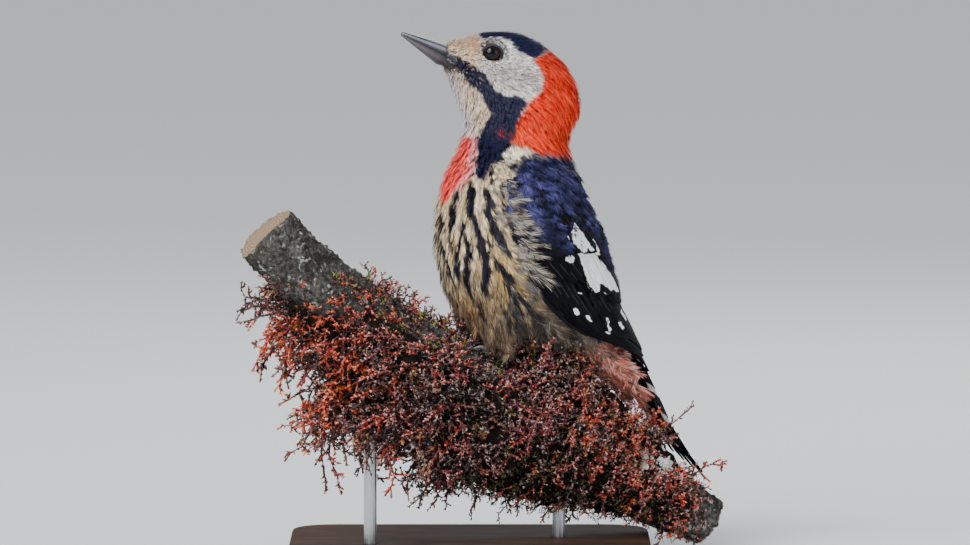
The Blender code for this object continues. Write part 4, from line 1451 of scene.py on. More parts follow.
def make_bark(finish):
    """The branch, with its rough bark."""
    bark = merged_copy(("perch_branch",), "bark")
    points, normals = smoothed_remesh(bark, 0.8, 3)
    relief = 0.4 * ripple(points, 4.0, 40, (0.35, 1, 0.6))
    relief = relief + 0.4 * ripple(points, 2.2, 41) + 0.35 * ripple(points, 1.3, 42)
    share, gap = perch_place(points)
    side = step(5, 8, gap)
    set_points(bark.data, points + normals * ((relief - 0.35) * side)[:, None] * MM)
    unwrap(bark)
    inward = unit(PERCH_SPOTS[1] - PERCH_SPOTS[0]), unit(PERCH_SPOTS[-2] - PERCH_SPOTS[-1])
    cut = np.maximum(*((-(normals @ way)).clip(0, 1) for way in inward))
    cut = cut * ((share < 0.01) | (share > 0.99))
    paint(bark.data, None, {"cut": step(0.75, 0.9, cut), "gap": gap})
    return finished(bark, "bark", finish, "perch_branch")


# The heap of moss beside the tail: places along x, and its heights over the branch
HEAP_X = (12, 15, 20, 27, 33, 36, 40, 43, 49, 57, 62, 68)
HEAP_HEIGHTS = (6, 9, 12, 14.5, 16.5, 16, 14.5, 13, 10.5, 9, 6, 2)


def heap_up(core):
    """Adds the heap of moss that stands on the branch beside the tail, as a rough ridge."""
    rings = []
    turn = np.linspace(0, 2 * pi, 14, endpoint=False)
    for x in np.linspace(13, 70, 26):
        tall = np.interp(x, HEAP_X, HEAP_HEIGHTS) * step(11, 15, x) * step(71, 65, x)
        ring = vectors(0, 4.6 * np.cos(turn) * (0.4 + tall / 11), (3.0 + tall) * np.sin(turn))
        rings.append((perch_middle(x) + (0, -6.5, 8.0) + ring) * MM)
    heap = joined("moss_heap", [loft(rings)])
    only(core)
    heap.select_set(True)
    bpy.ops.object.join()


def make_moss_core(finish):
    """The matted body of the moss, which the sprigs grow from; its dark colour is painted shade."""
    core = merged_copy(("perch_moss",), "moss_mat", 0.4)
    heap_up(core)
    points, normals = smoothed_remesh(core, 1.3, 10)
    spots = points / MM
    share, gap = perch_place(points)
    thick = np.clip(gap - 10.5, 0, 30)
    deep, x = under_line(points)
    inset = (0.25 * step(-14, -6, deep) + 0.27 * step(0, -28, x) * step(4, 14, deep)) * thick + 0.8
    relief = 0.12 * thick * ripple(points, 12.0, 43)
    relief = relief + 0.9 * ripple(points, 5.0, 44) + 0.6 * ripple(points, 2.8, 45)
    made = points - normals * (inset - relief * step(0.5, 5, thick))[:, None] * MM
    middle = perch_middle(x)
    inner = (middle + (spots - middle) * np.minimum(7.5 / gap.clip(1), 1)[:, None]) * MM
    set_points(core.data, made + (inner - made) * bare_bark(points)[:, None])
    unwrap(core)
    return finished(core, "moss", finish, "perch_moss")


TRIANGLE = [2 * pi * corner / 3 for corner in range(3)]


class Frond:
    """A knobbly branching frond of unit length along X: points, triangles, how near a tip."""

    def __init__(self, rng, shoots, reach, thick, rings, leaves, leaf, sway=0.26, spread=0.9):
        self.points, self.faces, self.tips = [], [], []
        self.rng = rng
        spots, ways = self._line(np.zeros(3), np.array([1.0, 0, 0]), 1.0, rings, sway)
        self._shoot(spots, ways, thick, 0.0, 0.8)
        self._leaves(spots, ways, leaves, leaf, 0.1, 0.9)
        for number in range(shoots):
            share = 0.12 + 0.84 * (number + 0.7 * rng.random()) / shoots
            low, root = self._at(spots, share)
            aside = unit(np.cross(ways[low], rng.normal(0, 0.35, 3) + (0, 0, 1.0)))
            aside = aside * (1 if number % 2 else -1)
            way = unit(ways[low] * rng.uniform(0.3, 0.9) + aside * spread + rng.normal(0, 0.25, 3))
            long = reach * rng.uniform(0.5, 1.2) * (1.1 - 0.6 * share)
            shoot = self._line(root, way, long, 2, sway)
            self._shoot(*shoot, thick * 0.8, 0.3 * share + 0.2, 0.9)
            self._leaves(*shoot, max(2, round(leaves * long * 1.3)), leaf, 0.3 * share + 0.25, 1.0)
        self.points, self.faces, self.tips = map(np.array, (self.points, self.faces, self.tips))

    def _leaves(self, spots, ways, count, leaf, low, high):
        """Small pointed scale leaves set all round a shoot, leaning to its tip."""
        for number in range(count):
            share = (number + 0.6) / count
            before, root = self._at(spots, share)
            across = unit(np.cross(ways[before], self.rng.normal(0, 1, 3)))
            way = unit(ways[before] * self.rng.uniform(0.4, 1.0) + across)
            long = leaf * self.rng.uniform(0.7, 1.3) * (1.1 - 0.4 * share)
            self._stub(root, way, long, leaf * 0.34, low + (high - low) * share)

    def _at(self, spots, share):
        """The number of the point before a share of a shoot's length, and the place there."""
        place = share * (len(spots) - 1)
        low = min(int(place), len(spots) - 2)
        return low, spots[low] + (spots[low + 1] - spots[low]) * (place - low)

    def _line(self, spot, way, length, steps, sway):
        spots, ways = [spot], [way]
        for _ in range(steps):
            way = unit(way + self.rng.normal(0, sway, 3))
            spot = spot + way * length / steps
            spots.append(spot)
            ways.append(way)
        return spots, ways

    def _ring(self, spot, way, turns, reaches, tone):
        """Three points round a shoot."""
        aside = unit(np.cross(way, (0.3, 0.2, 1.0)))
        above = np.cross(aside, way)
        for turn, reach in zip(turns, reaches):
            self.points.append(spot + (aside * cos(turn) + above * sin(turn)) * reach)
            self.tips.append(tone)

    def _shoot(self, spots, ways, thick, low, high):
        """A tapering shoot whose rings swell and shrink like overlapping scales."""
        start = len(self.points)
        last = len(spots) - 1
        for number, (spot, way) in enumerate(zip(spots, ways)):
            share = number / last
            size = thick * (1 - 0.45 * share) * (1.35 if number % 2 else 0.75)
            turns = [turn + number * 0.8 for turn in TRIANGLE]
            reaches = [size * self.rng.uniform(0.7, 1.35) for _ in TRIANGLE]
            self._ring(spot, way, turns, reaches, low + (high - low) * share)
        for number in range(last):
            for corner in range(3):
                a, b = start + number * 3 + corner, start + number * 3 + (corner + 1) % 3
                self.faces += [(a, b, b + 3), (a, b + 3, a + 3)]
        self._point(start + last * 3, spots[-1] + ways[-1] * thick * 1.2, high)

    def _point(self, start, spot, tone):
        """Closes a ring of three points with a tip."""
        self.points.append(spot)
        self.tips.append(tone)
        self.faces += [(start + k, start + (k + 1) % 3, len(self.points) - 1) for k in range(3)]

    def _stub(self, spot, way, long, thick, tone):
        start = len(self.points)
        self._ring(spot, way, TRIANGLE, [thick] * 3, tone)
        self._point(start, spot + way * long, min(tone + 0.25, 1.0))


def plant(name, templates, spots, aheads, ups, sizes, uv, rng, colour):
    """One joined mesh of sprigs, each a template turned, sized and set at its spot."""
    pick = rng.integers(len(templates), size=len(spots))
    points, faces, maps, tints, offset = [], [], [], [], 0
    aheads = unit(aheads)
    sides = unit(np.cross(ups, aheads))
    ups = np.cross(aheads, sides)
    for number, template in enumerate(templates):
        own = np.flatnonzero(pick == number)
        if not len(own):
            continue
        axes = np.stack([aheads[own], sides[own], ups[own]], 1)
        made = np.einsum("pk,nkc->npc", template.points, axes) * (sizes[own, None, None] * MM)
        made = made + spots[own][:, None]
        points.append(made.reshape(-1, 3))
        count = len(template.points)
        starts = offset + np.arange(len(own)) * count
        faces.append((template.faces[None] + starts[:, None, None]).reshape(-1, 3))
        patch = uv[own][:, None] + template.points[None, :, :2] * TUFT_PATCH / 2
        maps.append(patch.reshape(-1, 2))
        tints.append(colour(made, template.tips, rng).reshape(-1, 3))
        offset += count * len(own)
    points, faces, maps, tints = map(np.concatenate, (points, faces, maps, tints))
    return array_mesh(name, points, faces, np.clip(maps, *MAP_RANGE), tints)


CRIMSON = srgb(112, 14, 18)
RUST_RED = srgb(184, 54, 20)
ROOT_SHADE_RED = srgb(14, 6, 7)
GLINT_PINK = srgb(228, 196, 190)
DARK_BROWN = srgb(58, 40, 34)
VIOLET_BROWN = srgb(96, 66, 84)
ORANGE_TIP = srgb(230, 104, 34)
OLIVE = srgb(100, 92, 36)
OLIVE_DARK = srgb(24, 22, 13)
YELLOW_GREEN = srgb(190, 176, 56)


def sprig_colour(made, tips, rng):
    """Liverwort: rust-red and orange tips, each frond of its own tone, painted nearly black toward its root
    as shade, with painted glints near its tips.
    """
    count = made.shape[0]
    spots = made[:, 0]
    deep, x = under_line(spots)
    place = step(20, 45, x) + step(-10, -36, x)
    tone = 0.2 + 0.5 * ripple(spots, 14, 50) + rng.normal(0, 0.3, count) + 0.75 * place
    violet = np.clip(rng.normal(0.1, 0.35, count) + 0.7 * bump(-4, 30, x) * step(16, 0, deep), 0, 1)
    mid = blend(CRIMSON, RUST_RED, np.clip(tone, 0, 1))
    mid = blend(mid, VIOLET_BROWN, violet * 0.45)
    end = blend(mid, ORANGE_TIP, np.clip(0.65 * tone + rng.normal(0, 0.2, count) - 0.3 * violet, 0, 1))
    brown = (rng.random(count) < 0.28 + 0.25 * step(8, 24, deep) - 0.15 * place).astype(float)
    mid = blend(mid, DARK_BROWN, brown * 0.9)
    end = blend(end, OLIVE, brown * 0.6)
    share = tips[None, :, None]
    # Painted shade: each frond is nearly black at its root, brightening toward its tip.
    colour = ROOT_SHADE_RED + (mid - ROOT_SHADE_RED)[:, None] * np.clip(share * 2.0 - 0.5, 0, 1)
    colour = colour + (end - mid)[:, None] * np.clip(share * 3.0 - 2.0, 0, 1)
    colour = colour * np.where(rng.random(count) < 0.42, 0.22, 1.25)[:, None, None]
    # Painted highlights: some points near the tips turn pale pink, fewer toward the low end.
    glint_share = 0.28 - 0.2 * step(-20, -40, x)
    glint = (rng.random(made.shape[:2]) < glint_share[:, None]) * (share[..., 0] > 0.7)
    return colour + (GLINT_PINK - colour) * glint[..., None] * 0.7


def moss_colour(made, tips, rng):
    """Moss: nearly black at the root, olive at the tips."""
    count = made.shape[0]
    tone = np.clip(rng.normal(0.0, 0.3, count), 0, 1)
    return to_tips(OLIVE_DARK * 0.7, blend(OLIVE * 0.7, YELLOW_GREEN, tone), tips**1.3)


def yellow_colour(made, tips, rng):
    """Small yellow-green and orange stars by the feet."""
    orange = (rng.random(made.shape[0]) < 0.35).astype(float)
    return to_tips(OLIVE, blend(YELLOW_GREEN, ORANGE_TIP * 1.1, orange), tips)


def to_tips(base, end, share):
    """One colour at the roots, turning to each frond's own at its tips."""
    return base + (end - base)[:, None] * share[None, :, None]


def under_line(points):
    """How far points lie below the branch's middle line, in millimetres, and their x."""
    x, z = points[:, 0] / MM, points[:, 2] / MM
    return perch_middle(x)[:, 2] - z, x


def bare_bark(points):
    """1 on the branch's high end, where the moss stops."""
    deep, x = under_line(points)
    return step(-29, -36, x) * step(17, 12.5, deep)


def red_share(points):
    """Where liverwort outdoes green moss: all but the underside toward the low end."""
    deep, x = under_line(points)
    share = 1.15 - 1.0 * step(-2, 8, deep) * step(-16, 10, x) - 0.35 * step(8, 24, deep)
    share = np.clip(share + 0.35 * ripple(points, 16, 51), 0.06, 1)
    return share * off_lichen(points) * (bare_bark(points) < 0.85)


def off_lichen(points):
    """0 round the patch of white lichen and close under the tail, 1 elsewhere."""
    x, y, z = (points / MM).T
    # Close under the tail no fronds grow, so the dark mat shows there as painted shade.
    below_tail = np.interp(x, (33, 34, 36, 41, 46, 56, 62), (300, 70, 59, 51, 45.5, 43, 41))
    return step(6.5, 9.5, np.hypot(x - 60.5, (z - 30) * 1.3)) * step(0, -4, z - below_tail)


def near_feet(points):
    """1 on the branch's top by the toes, falling to 0 away from them."""
    x, y, z = (points / MM).T
    return step(8.5, 4.5, np.hypot(x - 7.5, 0.7 * (y + 5)))


def upper_cover(points):
    """Where fronds also cover the branch's top, leaving its ends and a lichen patch bare."""
    deep, x = under_line(points)
    share, gap = perch_place(points)
    left = step(-49, -32, x + 1.2 * deep)
    patchy = step(-0.9, -0.3, ripple(points, 12, 52))
    return left * step(75, 66, x) * off_lichen(points) * (gap > 6) * patchy


def heap_cover(points):
    """The side of the heap and the branch's top where the tallest fronds stand."""
    deep, x = under_line(points)
    return step(15, 20, x) * step(66, 60, x) * step(4, -3, deep) * off_lichen(points)


STAND_REACH, STAND_TOP = 60.0, 7.0  # the base's half length with a little room, and its height


def sow(
    rng, finish, name, templates, ground, spacing, count, sizes, spread, pull, cover, colour=sprig_colour,
):
    """Fronds scattered over a ground as one piece, none long enough to reach the floor or base."""
    spots, normals, uv = ground.scatter(spacing, count, rng, cover)
    ahead = unit(normals + rng.normal(0, spread, spots.shape) + np.array(pull))
    ups = unit(np.array([0, -0.6, 1.0]) + rng.normal(0, 0.5, spots.shape))
    size = rng.uniform(*sizes, len(spots))
    x, y, z = (spots / MM).T
    room = z - np.where(np.abs(x) < STAND_REACH, STAND_TOP, 0) - 1
    size = np.minimum(size, np.maximum(room / 1.15, 1))
    finished(plant(name, templates, spots, ahead, ups, size, uv, rng, colour), "moss", finish)


def make_fronds(core, bark, finish):
    """Liverwort and moss over the mat and along the branch's top."""
    rng = np.random.default_rng(SEED + 60)
    ground, top = Ground(core), Ground(bark)
    long_fronds = [Frond(rng, 6, 0.26, 0.020, 7, 14, 0.076) for _ in range(8)]
    full_fronds = [Frond(rng, 4, 0.42, 0.034, 5, 9, 0.150) for _ in range(10)]
    short_fronds = [Frond(rng, 2, 0.55, 0.062, 3, 5, 0.28) for _ in range(10)]
    threads = [Frond(rng, 4, 0.45, 0.018, 4, 5, 0.10, 0.5, 1.2) for _ in range(8)]
    stars = [Frond(rng, 6, 0.55, 0.05, 2, 2, 0.2, 0.3, 1.3) for _ in range(6)]

    def fringe(points):
        deep, x = under_line(points)
        edge = 0.12 + step(-2, -28, x) + 1.2 * step(6, 16, deep) * step(12, -6, x)
        return np.clip(red_share(points) * edge, 0, 1) * off_lichen(points)

    def low_left(points):
        deep, x = under_line(points)
        return step(-14, -26, x) * step(9, 15, deep)

    def low_side(points):
        green = np.clip(1.2 - red_share(points), 0.05, 1)
        return green * off_lichen(points) * (bare_bark(points) < 0.85)

    def flecks(points):
        tufts = step(0.35, 0.6, ripple(points, 11, 53))
        return upper_cover(points) * np.maximum(tufts, bump(-10, 8, points[:, 0] / MM))

    def branch_top(points):
        return upper_cover(points) * (1 - 0.85 * near_feet(points))

    up, out = (0, -0.2, 0.3), (0.1, -0.3, 0.6)
    rows = (
        # name, fronds, ground, spacing, tries, lengths, how loose, pull, cover, colour
        ("liverwort_hanging", long_fronds, ground, 3.3, 3000, (15, 25), 0.35, (-0.75, -0.1, -0.6), low_left),
        ("liverwort_long", long_fronds, ground, 3.2, 5000, (10, 21), 0.45, (-0.55, -0.1, -0.5), fringe),
        ("liverwort_full", full_fronds, ground, 2.9, 6000, (6, 9.5), 0.6, (-0.1, -0.1, 0.1), red_share),
        ("liverwort_short", short_fronds, ground, 2.3, 9000, (3, 5.0), 0.8, (0, 0, 0), red_share),
        ("liverwort_top", full_fronds, top, 2.6, 6000, (4.0, 7.5), 0.7, up, branch_top),
        ("liverwort_low", short_fronds, top, 2.3, 6000, (2.0, 3.4), 0.8, up, branch_top),
        ("liverwort_heap", full_fronds, ground, 2.2, 4000, (5, 8.5), 0.5, out, heap_cover),
        ("green_moss", threads, ground, 2.45, 7000, (4, 8), 0.6, (0, 0, -0.3), low_side, moss_colour),
        ("yellow_moss", stars, top, 2.7, 2500, (1.8, 3.2), 0.5, up, flecks, yellow_colour),
    )
    for row in rows:
        sow(rng, finish, *row)


LICHEN_WHITE = srgb(244, 248, 240)
LICHEN_SPOTS = ((61, 29.5, 15), (56, 31.5, 9), (65, 27.5, 5))  # x, height, lobes


def make_lichen(ground, finish):
    """Leafy pale lichen: rounded lobes laid flat on the bark in small rosettes."""
    rng = np.random.default_rng(SEED + 61)
    skin = Surface(ground)
    sheets = Sheets()
    for x, height, count in LICHEN_SPOTS:
        start = np.array([x, perch_middle(x)[1] - 14, height])
        for number in range(count):
            aside = rng.normal(0, 1, 3) * (2.6, 1.0, 1.5)
            spot, normal = skin.nearest([(start + aside) * MM])
            spot, normal = spot[0] / MM, unit(normal[0])
            way = unit(np.cross(normal, rng.normal(size=3)))
            side = np.cross(normal, way)
            long, wide = rng.uniform(1.7, 3.0), rng.uniform(0.8, 1.3)
            along, across = np.meshgrid(np.linspace(0, 1, 6), np.linspace(-1, 1, 5), indexing="ij")
            half = wide * np.sin(pi * np.clip(along * 0.86 + 0.1, 0, 1)) ** 0.5
            height = 0.6 + 1.0 * along + 0.25 * across**2 + 0.12 * np.sin(5 * along + 4 * across + number)
            grid = spot + way * (along * long)[..., None] + side * (across * half)[..., None]
            grid = grid + normal * height[..., None]
            sheets.add(grid * MM, np.broadcast_to(normal, grid.shape), 0.2)
    piece = sheets.piece("leafy_lichen", LICHEN_WHITE)
    finished(piece, "bark", finish)


def lichen_finish():
    finish = Finish("leafy_lichen", Roughness=0.85, Specular_IOR_Level=0.2)
    place = finish.place()
    dust = finish.noise(place, 0.8, 3.0)
    tint = finish.mix(dust.clamped(0.25, 0.55), (0.50, 0.54, 0.47), tuple(LICHEN_WHITE))
    finish.set("Base Color", tint)
    finish.relief(dust, 0.3)
    return finish.material


def moss_finish():
    finish = Finish("liverwort_and_moss", Roughness=0.3, Specular_IOR_Level=0.9)
    tint = finish.tint()
    speck = finish.noise(finish.place(), 0.8, 3.0)
    finish.tinted(tint, speck * 0.9 + 0.6)
    return finish.material


def mat_finish():
    finish = Finish("moss_mat", Roughness=0.9, Specular_IOR_Level=0.2)
    place = finish.place()
    blot = finish.noise(place, 0.16, 4.0)
    fine = finish.noise(place, 1.1, 4.0)
    # Near-black to dark rust: the mat is painted shade among and under the fronds.
    dark, stem = (0.30, (0.005, 0.003, 0.003)), (0.5, (0.014, 0.006, 0.004))
    olive, rust = (0.62, (0.016, 0.014, 0.005)), (0.75, (0.05, 0.022, 0.01))
    finish.set("Base Color", finish.ramp(blot * 0.6 + fine * 0.4, dark, stem, olive, rust))
    finish.relief(fine, 1.2)
    return finish.material


def bark_finish():
    finish = Finish("branch_bark", Roughness=0.88, Specular_IOR_Level=0.25)
    place = finish.place()
    blot = finish.noise(place, 0.10, 4.0)
    fine = finish.noise(place, 0.9, 5.0, 0.65)
    crack, brown = (0.34, (0.010, 0.008, 0.005)), (0.46, (0.035, 0.031, 0.024))
    grey, ridge = (0.57, (0.11, 0.10, 0.09)), (0.70, (0.32, 0.31, 0.29))
    colour = finish.ramp(blot * 0.45 + fine * 0.55, crack, brown, grey, ridge)
    lichen = finish.noise(place, 0.34, 3.0, 0.6, 0.6)
    pale = (lichen + fine * 0.35).clamped(0.76, 0.86)
    dark = finish.noise(place, 0.30, 4.0, 0.65, 0.8).clamped(0.56, 0.64)
    colour = finish.mix(dark * 0.85, colour, (0.018, 0.014, 0.014))
    colour = finish.mix(pale * 0.85, colour, (0.42, 0.44, 0.39))
    years = (finish.attribute("gap") * 6.0 + blot * 5.0).sine() * 0.5 + 0.5
    wood = finish.mix(years, (0.42, 0.30, 0.19), (0.28, 0.18, 0.11))
    finish.set("Base Color", finish.mix(finish.attribute("cut"), colour, wood))
    finish.relief(fine + lichen * 0.5, 0.8)
    return finish.material


# ---------------------------------------------------------------- eyes and bill

HEAD_YAW = 6.0
EYEBALL = (9.45, 6.2, 157.9)
EYEBALL_RADIUS = 3.2
EYE_GAZE = (0.22, 1.0, 0.10)
LID_OPENING = (2.9, 2.4)
BILL_GAPE = (24.4, 157.8)
BILL_TIP = (37.0, 163.8)


def head_points(forward, side, up):
    """Points of the model from the head's own frame, which has one turn at every height."""
    return from_bird(forward, side, up, HEAD_YAW)


def loft(rings, tints=None, closed_ends=True, flip=False):
    """Points, triangles and tints of a tube through rings of points, with a fan over each end."""
    rings = np.asarray(rings)
    rows, columns = rings.shape[:2]
    number = np.arange(rows * columns).reshape(rows, columns)
    after = np.roll(number, -1, axis=1)
    a, b, c, d = (part.ravel() for part in (number[:-1], after[:-1], after[1:], number[1:]))
    faces = [np.stack([a, b, c], 1), np.stack([a, c, d], 1)]
    points = rings.reshape(-1, 3)
    tints = None if tints is None else np.asarray(tints).reshape(-1, 3)
    if closed_ends:
        points = np.concatenate([points, [rings[0].mean(axis=0), rings[-1].mean(axis=0)]])
        middle = np.full(columns, rows * columns)
        faces.append(np.stack([after[0], number[0], middle], 1))
        faces.append(np.stack([number[-1], after[-1], middle + 1], 1))
        if tints is not None:
            tints = np.concatenate([tints, tints[:1], tints[-1:]])
    faces = np.concatenate(faces)
    return points, faces[:, ::-1] if flip else faces, tints


def joined(name, parts):
    """One mesh object from lofted parts."""
    points, faces, tints = zip(*parts)
    starts = np.cumsum([0] + [len(part) for part in points[:-1]])
    faces = np.concatenate([part + start for part, start in zip(faces, starts)])
    tints = None if tints[0] is None else np.concatenate(tints)
    return array_mesh(name, np.concatenate(points), faces, None, tints)


def make_eyes():
    """Glossy dark eyes with a red-brown iris, each in an oval ring of bare lid."""
    for side, sign in WING_SIDE.items():
        centre = head_points(EYEBALL[0], sign * EYEBALL[1], EYEBALL[2])
        bpy.ops.object.select_all(action="DESELECT")
        bpy.ops.mesh.primitive_uv_sphere_add(
            segments=40, ring_count=24, radius=EYEBALL_RADIUS * MM, location=centre
        )
        eye = bpy.context.object
        eye.name = f"eyeball_{side}"
        bpy.ops.object.transform_apply(location=True, rotation=False, scale=False)
        eye.data.shade_smooth()
        ahead, aside, above = np.add(EYEBALL, EYE_GAZE)
        gaze = head_points(ahead, sign * aside, above) - centre
        gaze = gaze / np.linalg.norm(gaze)
        finished(eye, "eye", eye_finish(side, centre, gaze), f"eye_{side}")
        make_lids(side, sign)


def make_lids(side, sign):
    """A rounded ring of wrinkled bare skin round the eye."""
    turns = np.linspace(0, 2 * pi, 64, endpoint=False)
    loops = np.linspace(0, 2 * pi, 10, endpoint=False)
    rings = []
    for turn in turns:
        wide, tall = LID_OPENING
        point = np.array([wide * cos(turn), 0.0, tall * sin(turn) - 0.15 * cos(turn) ** 2])
        out = np.array([cos(turn), 0.0, sin(turn)])
        depth = sqrt(max(EYEBALL_RADIUS**2 - point[0] ** 2 - point[2] ** 2, 0.3))
        ring = []
        for loop in loops:
            thick = 0.34 + 0.04 * sin(turn * 23)
            spread = out * thick * 1.1 * (cos(loop) + 0.85)
            rise = depth - 0.12 + thick * sin(loop) * 0.95 - 0.35 * max(cos(loop), 0)
            spot = point + spread
            ring.append((EYEBALL[0] + spot[0], sign * (EYEBALL[1] + rise), EYEBALL[2] + spot[2]))
        rings.append(head_points(*np.array(ring).T))
    rings.append(rings[0])
    lid = joined(f"eyelids_{side}", [loft(rings, None, False, sign < 0)])
    faces_outwards(lid, True)
    finished(lid, "scaly_skin", lid_finish())


def eye_finish(side, centre, gaze):
    finish = Finish(f"eye_{side}", Roughness=0.03, Specular_IOR_Level=0.24)
    place = finish.node("ShaderNodeTexCoord", out="Object")
    away = finish.node("ShaderNodeVectorMath", {"operation": "SUBTRACT"}, {0: place, 1: tuple(centre)})
    way = finish.node("ShaderNodeVectorMath", {"operation": "NORMALIZE"}, {0: away})
    facing = finish.node("ShaderNodeVectorMath", {"operation": "DOT_PRODUCT"}, {0: way, 1: tuple(gaze)}, 1)
    iris = facing.clamped(0.55, 0.62)
    pupil = facing.clamped(0.865, 0.88)
    ring = finish.noise(finish.place(), 2.5, 3.0)
    brown = finish.mix(ring, (0.006, 0.003, 0.003), (0.026, 0.009, 0.008))
    colour = finish.mix(iris, (0.003, 0.002, 0.003), brown)
    finish.set("Base Color", finish.mix(pupil, colour, (0.002, 0.002, 0.003)))
    return finish.material


def lid_finish():
    finish = Finish("bare_lids", Roughness=0.6, Specular_IOR_Level=0.25)
    wrinkle = finish.noise(finish.place(), 3.0, 3.0)
    finish.set("Base Color", finish.mix(wrinkle, (0.008, 0.009, 0.014), (0.06, 0.062, 0.078)))
    finish.relief(wrinkle, 0.15)
    return finish.material


# Pale of the upper mandible's band, also used for its painted ridge highlight
BILL_PALE_AND_HIGHLIGHT = srgb(194, 192, 206)
BILL_BROWN = srgb(96, 86, 86)
BILL_DARK = srgb(36, 34, 42)


def bill_wedge(points):
    """How far points lie inside the bare wedge where the bill comes out of the face."""
    forward, side, up, around = to_bird(points)
    slope = (BILL_TIP[1] - BILL_GAPE[1]) / (BILL_TIP[0] - BILL_GAPE[0])
    height = (up - BILL_GAPE[1] - slope * (forward - BILL_GAPE[0])) / sqrt(1 + slope * slope)
    return forward - 17.6 - 1.65 * np.abs(height)


def make_bill(ground, finish):
    """Two mandibles: a ridge along the upper one, nostril grooves and a chisel tip."""
    gape, tip = np.array(BILL_GAPE), np.array(BILL_TIP)
    along = (tip - gape) / np.linalg.norm(tip - gape)
    for name, sign in (("bill_upper", 1), ("bill_lower", -1)):
        up_way = np.array([-along[1], along[0]]) * sign
        rings, tints = [], []
        for share in np.linspace(-0.55, 1, 46):
            taper = 1 - max(share, 0.0)
            wide = 0.45 + 2.65 * taper**0.9
            tall = 1.0 + 2.35 * taper if sign > 0 else 0.45 + 3.35 * taper
            if share < 0:
                wide, tall = wide * (1 + 0.3 * share), tall * (1 + 0.6 * share)
            if share > 0.97:
                wide, tall = wide * 0.7, tall * 0.8
            middle = gape + (tip - gape) * share - up_way * 0.03
            ring, tint = [], []
            for angle in np.linspace(0, pi, 21):
                rise = sin(angle)
                ridge = abs(cos(angle))
                across = wide * cos(angle) * (1 - 0.10 * rise)
                groove = 0.22 * np.exp(-(((ridge - 0.52) / 0.12) ** 2))
                groove = groove * max(0.0, 1 - max(share, 0) / 0.55) * (sign > 0)
                height = tall * rise**0.8 * (1 - groove * 0.5)
                across = across * (1 - groove * 0.5)
                spot = middle + up_way * height
                ring.append((spot[0], across, spot[1]))
                if sign > 0:
                    # Painted highlight: the upper ridge turns pale along its top.
                    ridge_highlight = np.clip((rise - 0.80) * 8, 0, 1) * (1 - 0.35 * taper)
                    band = np.exp(-(((rise - 0.40) / 0.15) ** 2)) * 0.45
                    shade = BILL_DARK + (BILL_PALE_AND_HIGHLIGHT - BILL_DARK) * max(ridge_highlight, band)
                else:
                    belly = np.exp(-(((rise - 0.45) / 0.3) ** 2))
                    belly = belly * np.interp(share, (-0.2, 0.1, 0.45), (0.25, 0.5, 1.0))
                    shade = BILL_DARK + (BILL_BROWN - BILL_DARK) * belly
                shade = shade * np.interp(share, (-0.5, 0.05), (0.5, 1.0))
                # Painted shade: both mandibles darken along the mouth line where they meet.
                shade = shade + (BILL_DARK - shade) * np.clip(1 - rise * 6, 0, 1)
                tint.append(shade)
            rings.append(head_points(*np.array(ring).T))
            tints.append(tint)
        rings = np.array(rings)
        flat = rings.reshape(-1, 3)
        spots, normals = ground.nearest(flat)
        low = ((flat - spots) * normals).sum(axis=1) < 0.45 * MM
        behind = to_bird(flat)[0] < BILL_GAPE[0] + 1.5
        lifted = spots + normals * 0.45 * MM
        flat = np.where((low & behind & (bill_wedge(flat) > -0.8))[:, None], lifted, flat)
        bill = joined(f"{name}_horn", [loft(flat.reshape(rings.shape), tints, True, sign > 0)])
        faces_outwards(bill)
        finished(bill, "horn", finish, name)


def horn_finish():
    finish = Finish("bill_and_claw_horn", Specular_IOR_Level=0.5)
    tint = finish.tint()
    streak = finish.noise(finish.place(stretch=(0.25, 1, 1)), 1.8, 4.0)
    finish.tinted(tint, streak * 0.7 + 0.65)
    finish.set("Roughness", streak * 0.2 + 0.25)
    finish.relief(streak, 0.12)
    return finish.material


def make_bristles(ground, finish):
    """Fine bristles that lie forward from the lores over the base of the bill."""
    rng = np.random.default_rng(SEED + 70)
    vanes = [Vane(rng, 4, 2, 0.9, 0.0, ovate(0.4), 0.10) for _ in range(5)]

    def keep(points):
        forward, side, up, around = to_bird(points)
        wedge = bill_wedge(points)
        return (forward > 17.5) & (up > 151) & (wedge < 0.2) & (wedge > -5)

    def forward_lie(points):
        forward, side, up, around = to_bird(points)
        return turned(vectors(1.0, 0.1 * np.sign(side), 0.42), up)

    def bristle_colour(points):
        forward, side, up, around = to_bird(points)
        low = (up - BILL_GAPE[1]) - 0.44 * (forward - 24.4)
        return layered(
            LORE_BUFF,
            (BILL_DARK, step(0.4, 1.0, ripple(points, 1.2, 71) + 0.5)),
            (NECK_BLACK, step(1.6, 0.6, low)),
            (DASH_BROWN * 0.5, step(-1.2, -1.9, low)),
        )

    sown = ground.scatter(0.62, 3000, rng, keep)
    size = rng.uniform(0.7, 1.2, len(sown[0]))
    grow(
        "bill_bristles", finish, ground, sown, forward_lie, 2.6 * size, 0.8 * size, 0.9 * size,
        vanes, rng, bristle_colour, 12.0, 0.6,
    )


# ---------------------------------------------------------------- feet

FOOT_AROUND = 30.0
FOOT_ALONG = 0.60
BALL_LIFT = 2.1
ANKLE = (8.2, 8.2, 70.5)
TOES = (("inner", -16.0, 8.5), ("middle", 12.0, 11.5), ("outer", 152.0, 10.5), ("hind", 196.0, 6.0))
CLAW_LENGTH = 4.2
TOE_GREY = srgb(112, 108, 110)
TOE_DARK = srgb(58, 54, 58)
CLAW_DARK = srgb(48, 44, 46)
CLAW_PALE = srgb(120, 112, 108)


def smooth_value(values, place):
    """Reads an array at a fractional place, on a Catmull-Rom curve."""
    last = len(values) - 1
    place = min(max(place, 0.0), float(last))
    index = min(int(place), last - 1)
    t = place - index
    before, start = values[max(index - 1, 0)], values[index]
    end, after = values[index + 1], values[min(index + 2, last)]
    curve = start * 2 + (end - before) * t + (before * 2 - start * 5 + end * 4 - after) * t**2
    return (curve + (start * 3 - before - end * 3 + after) * t**3) / 2


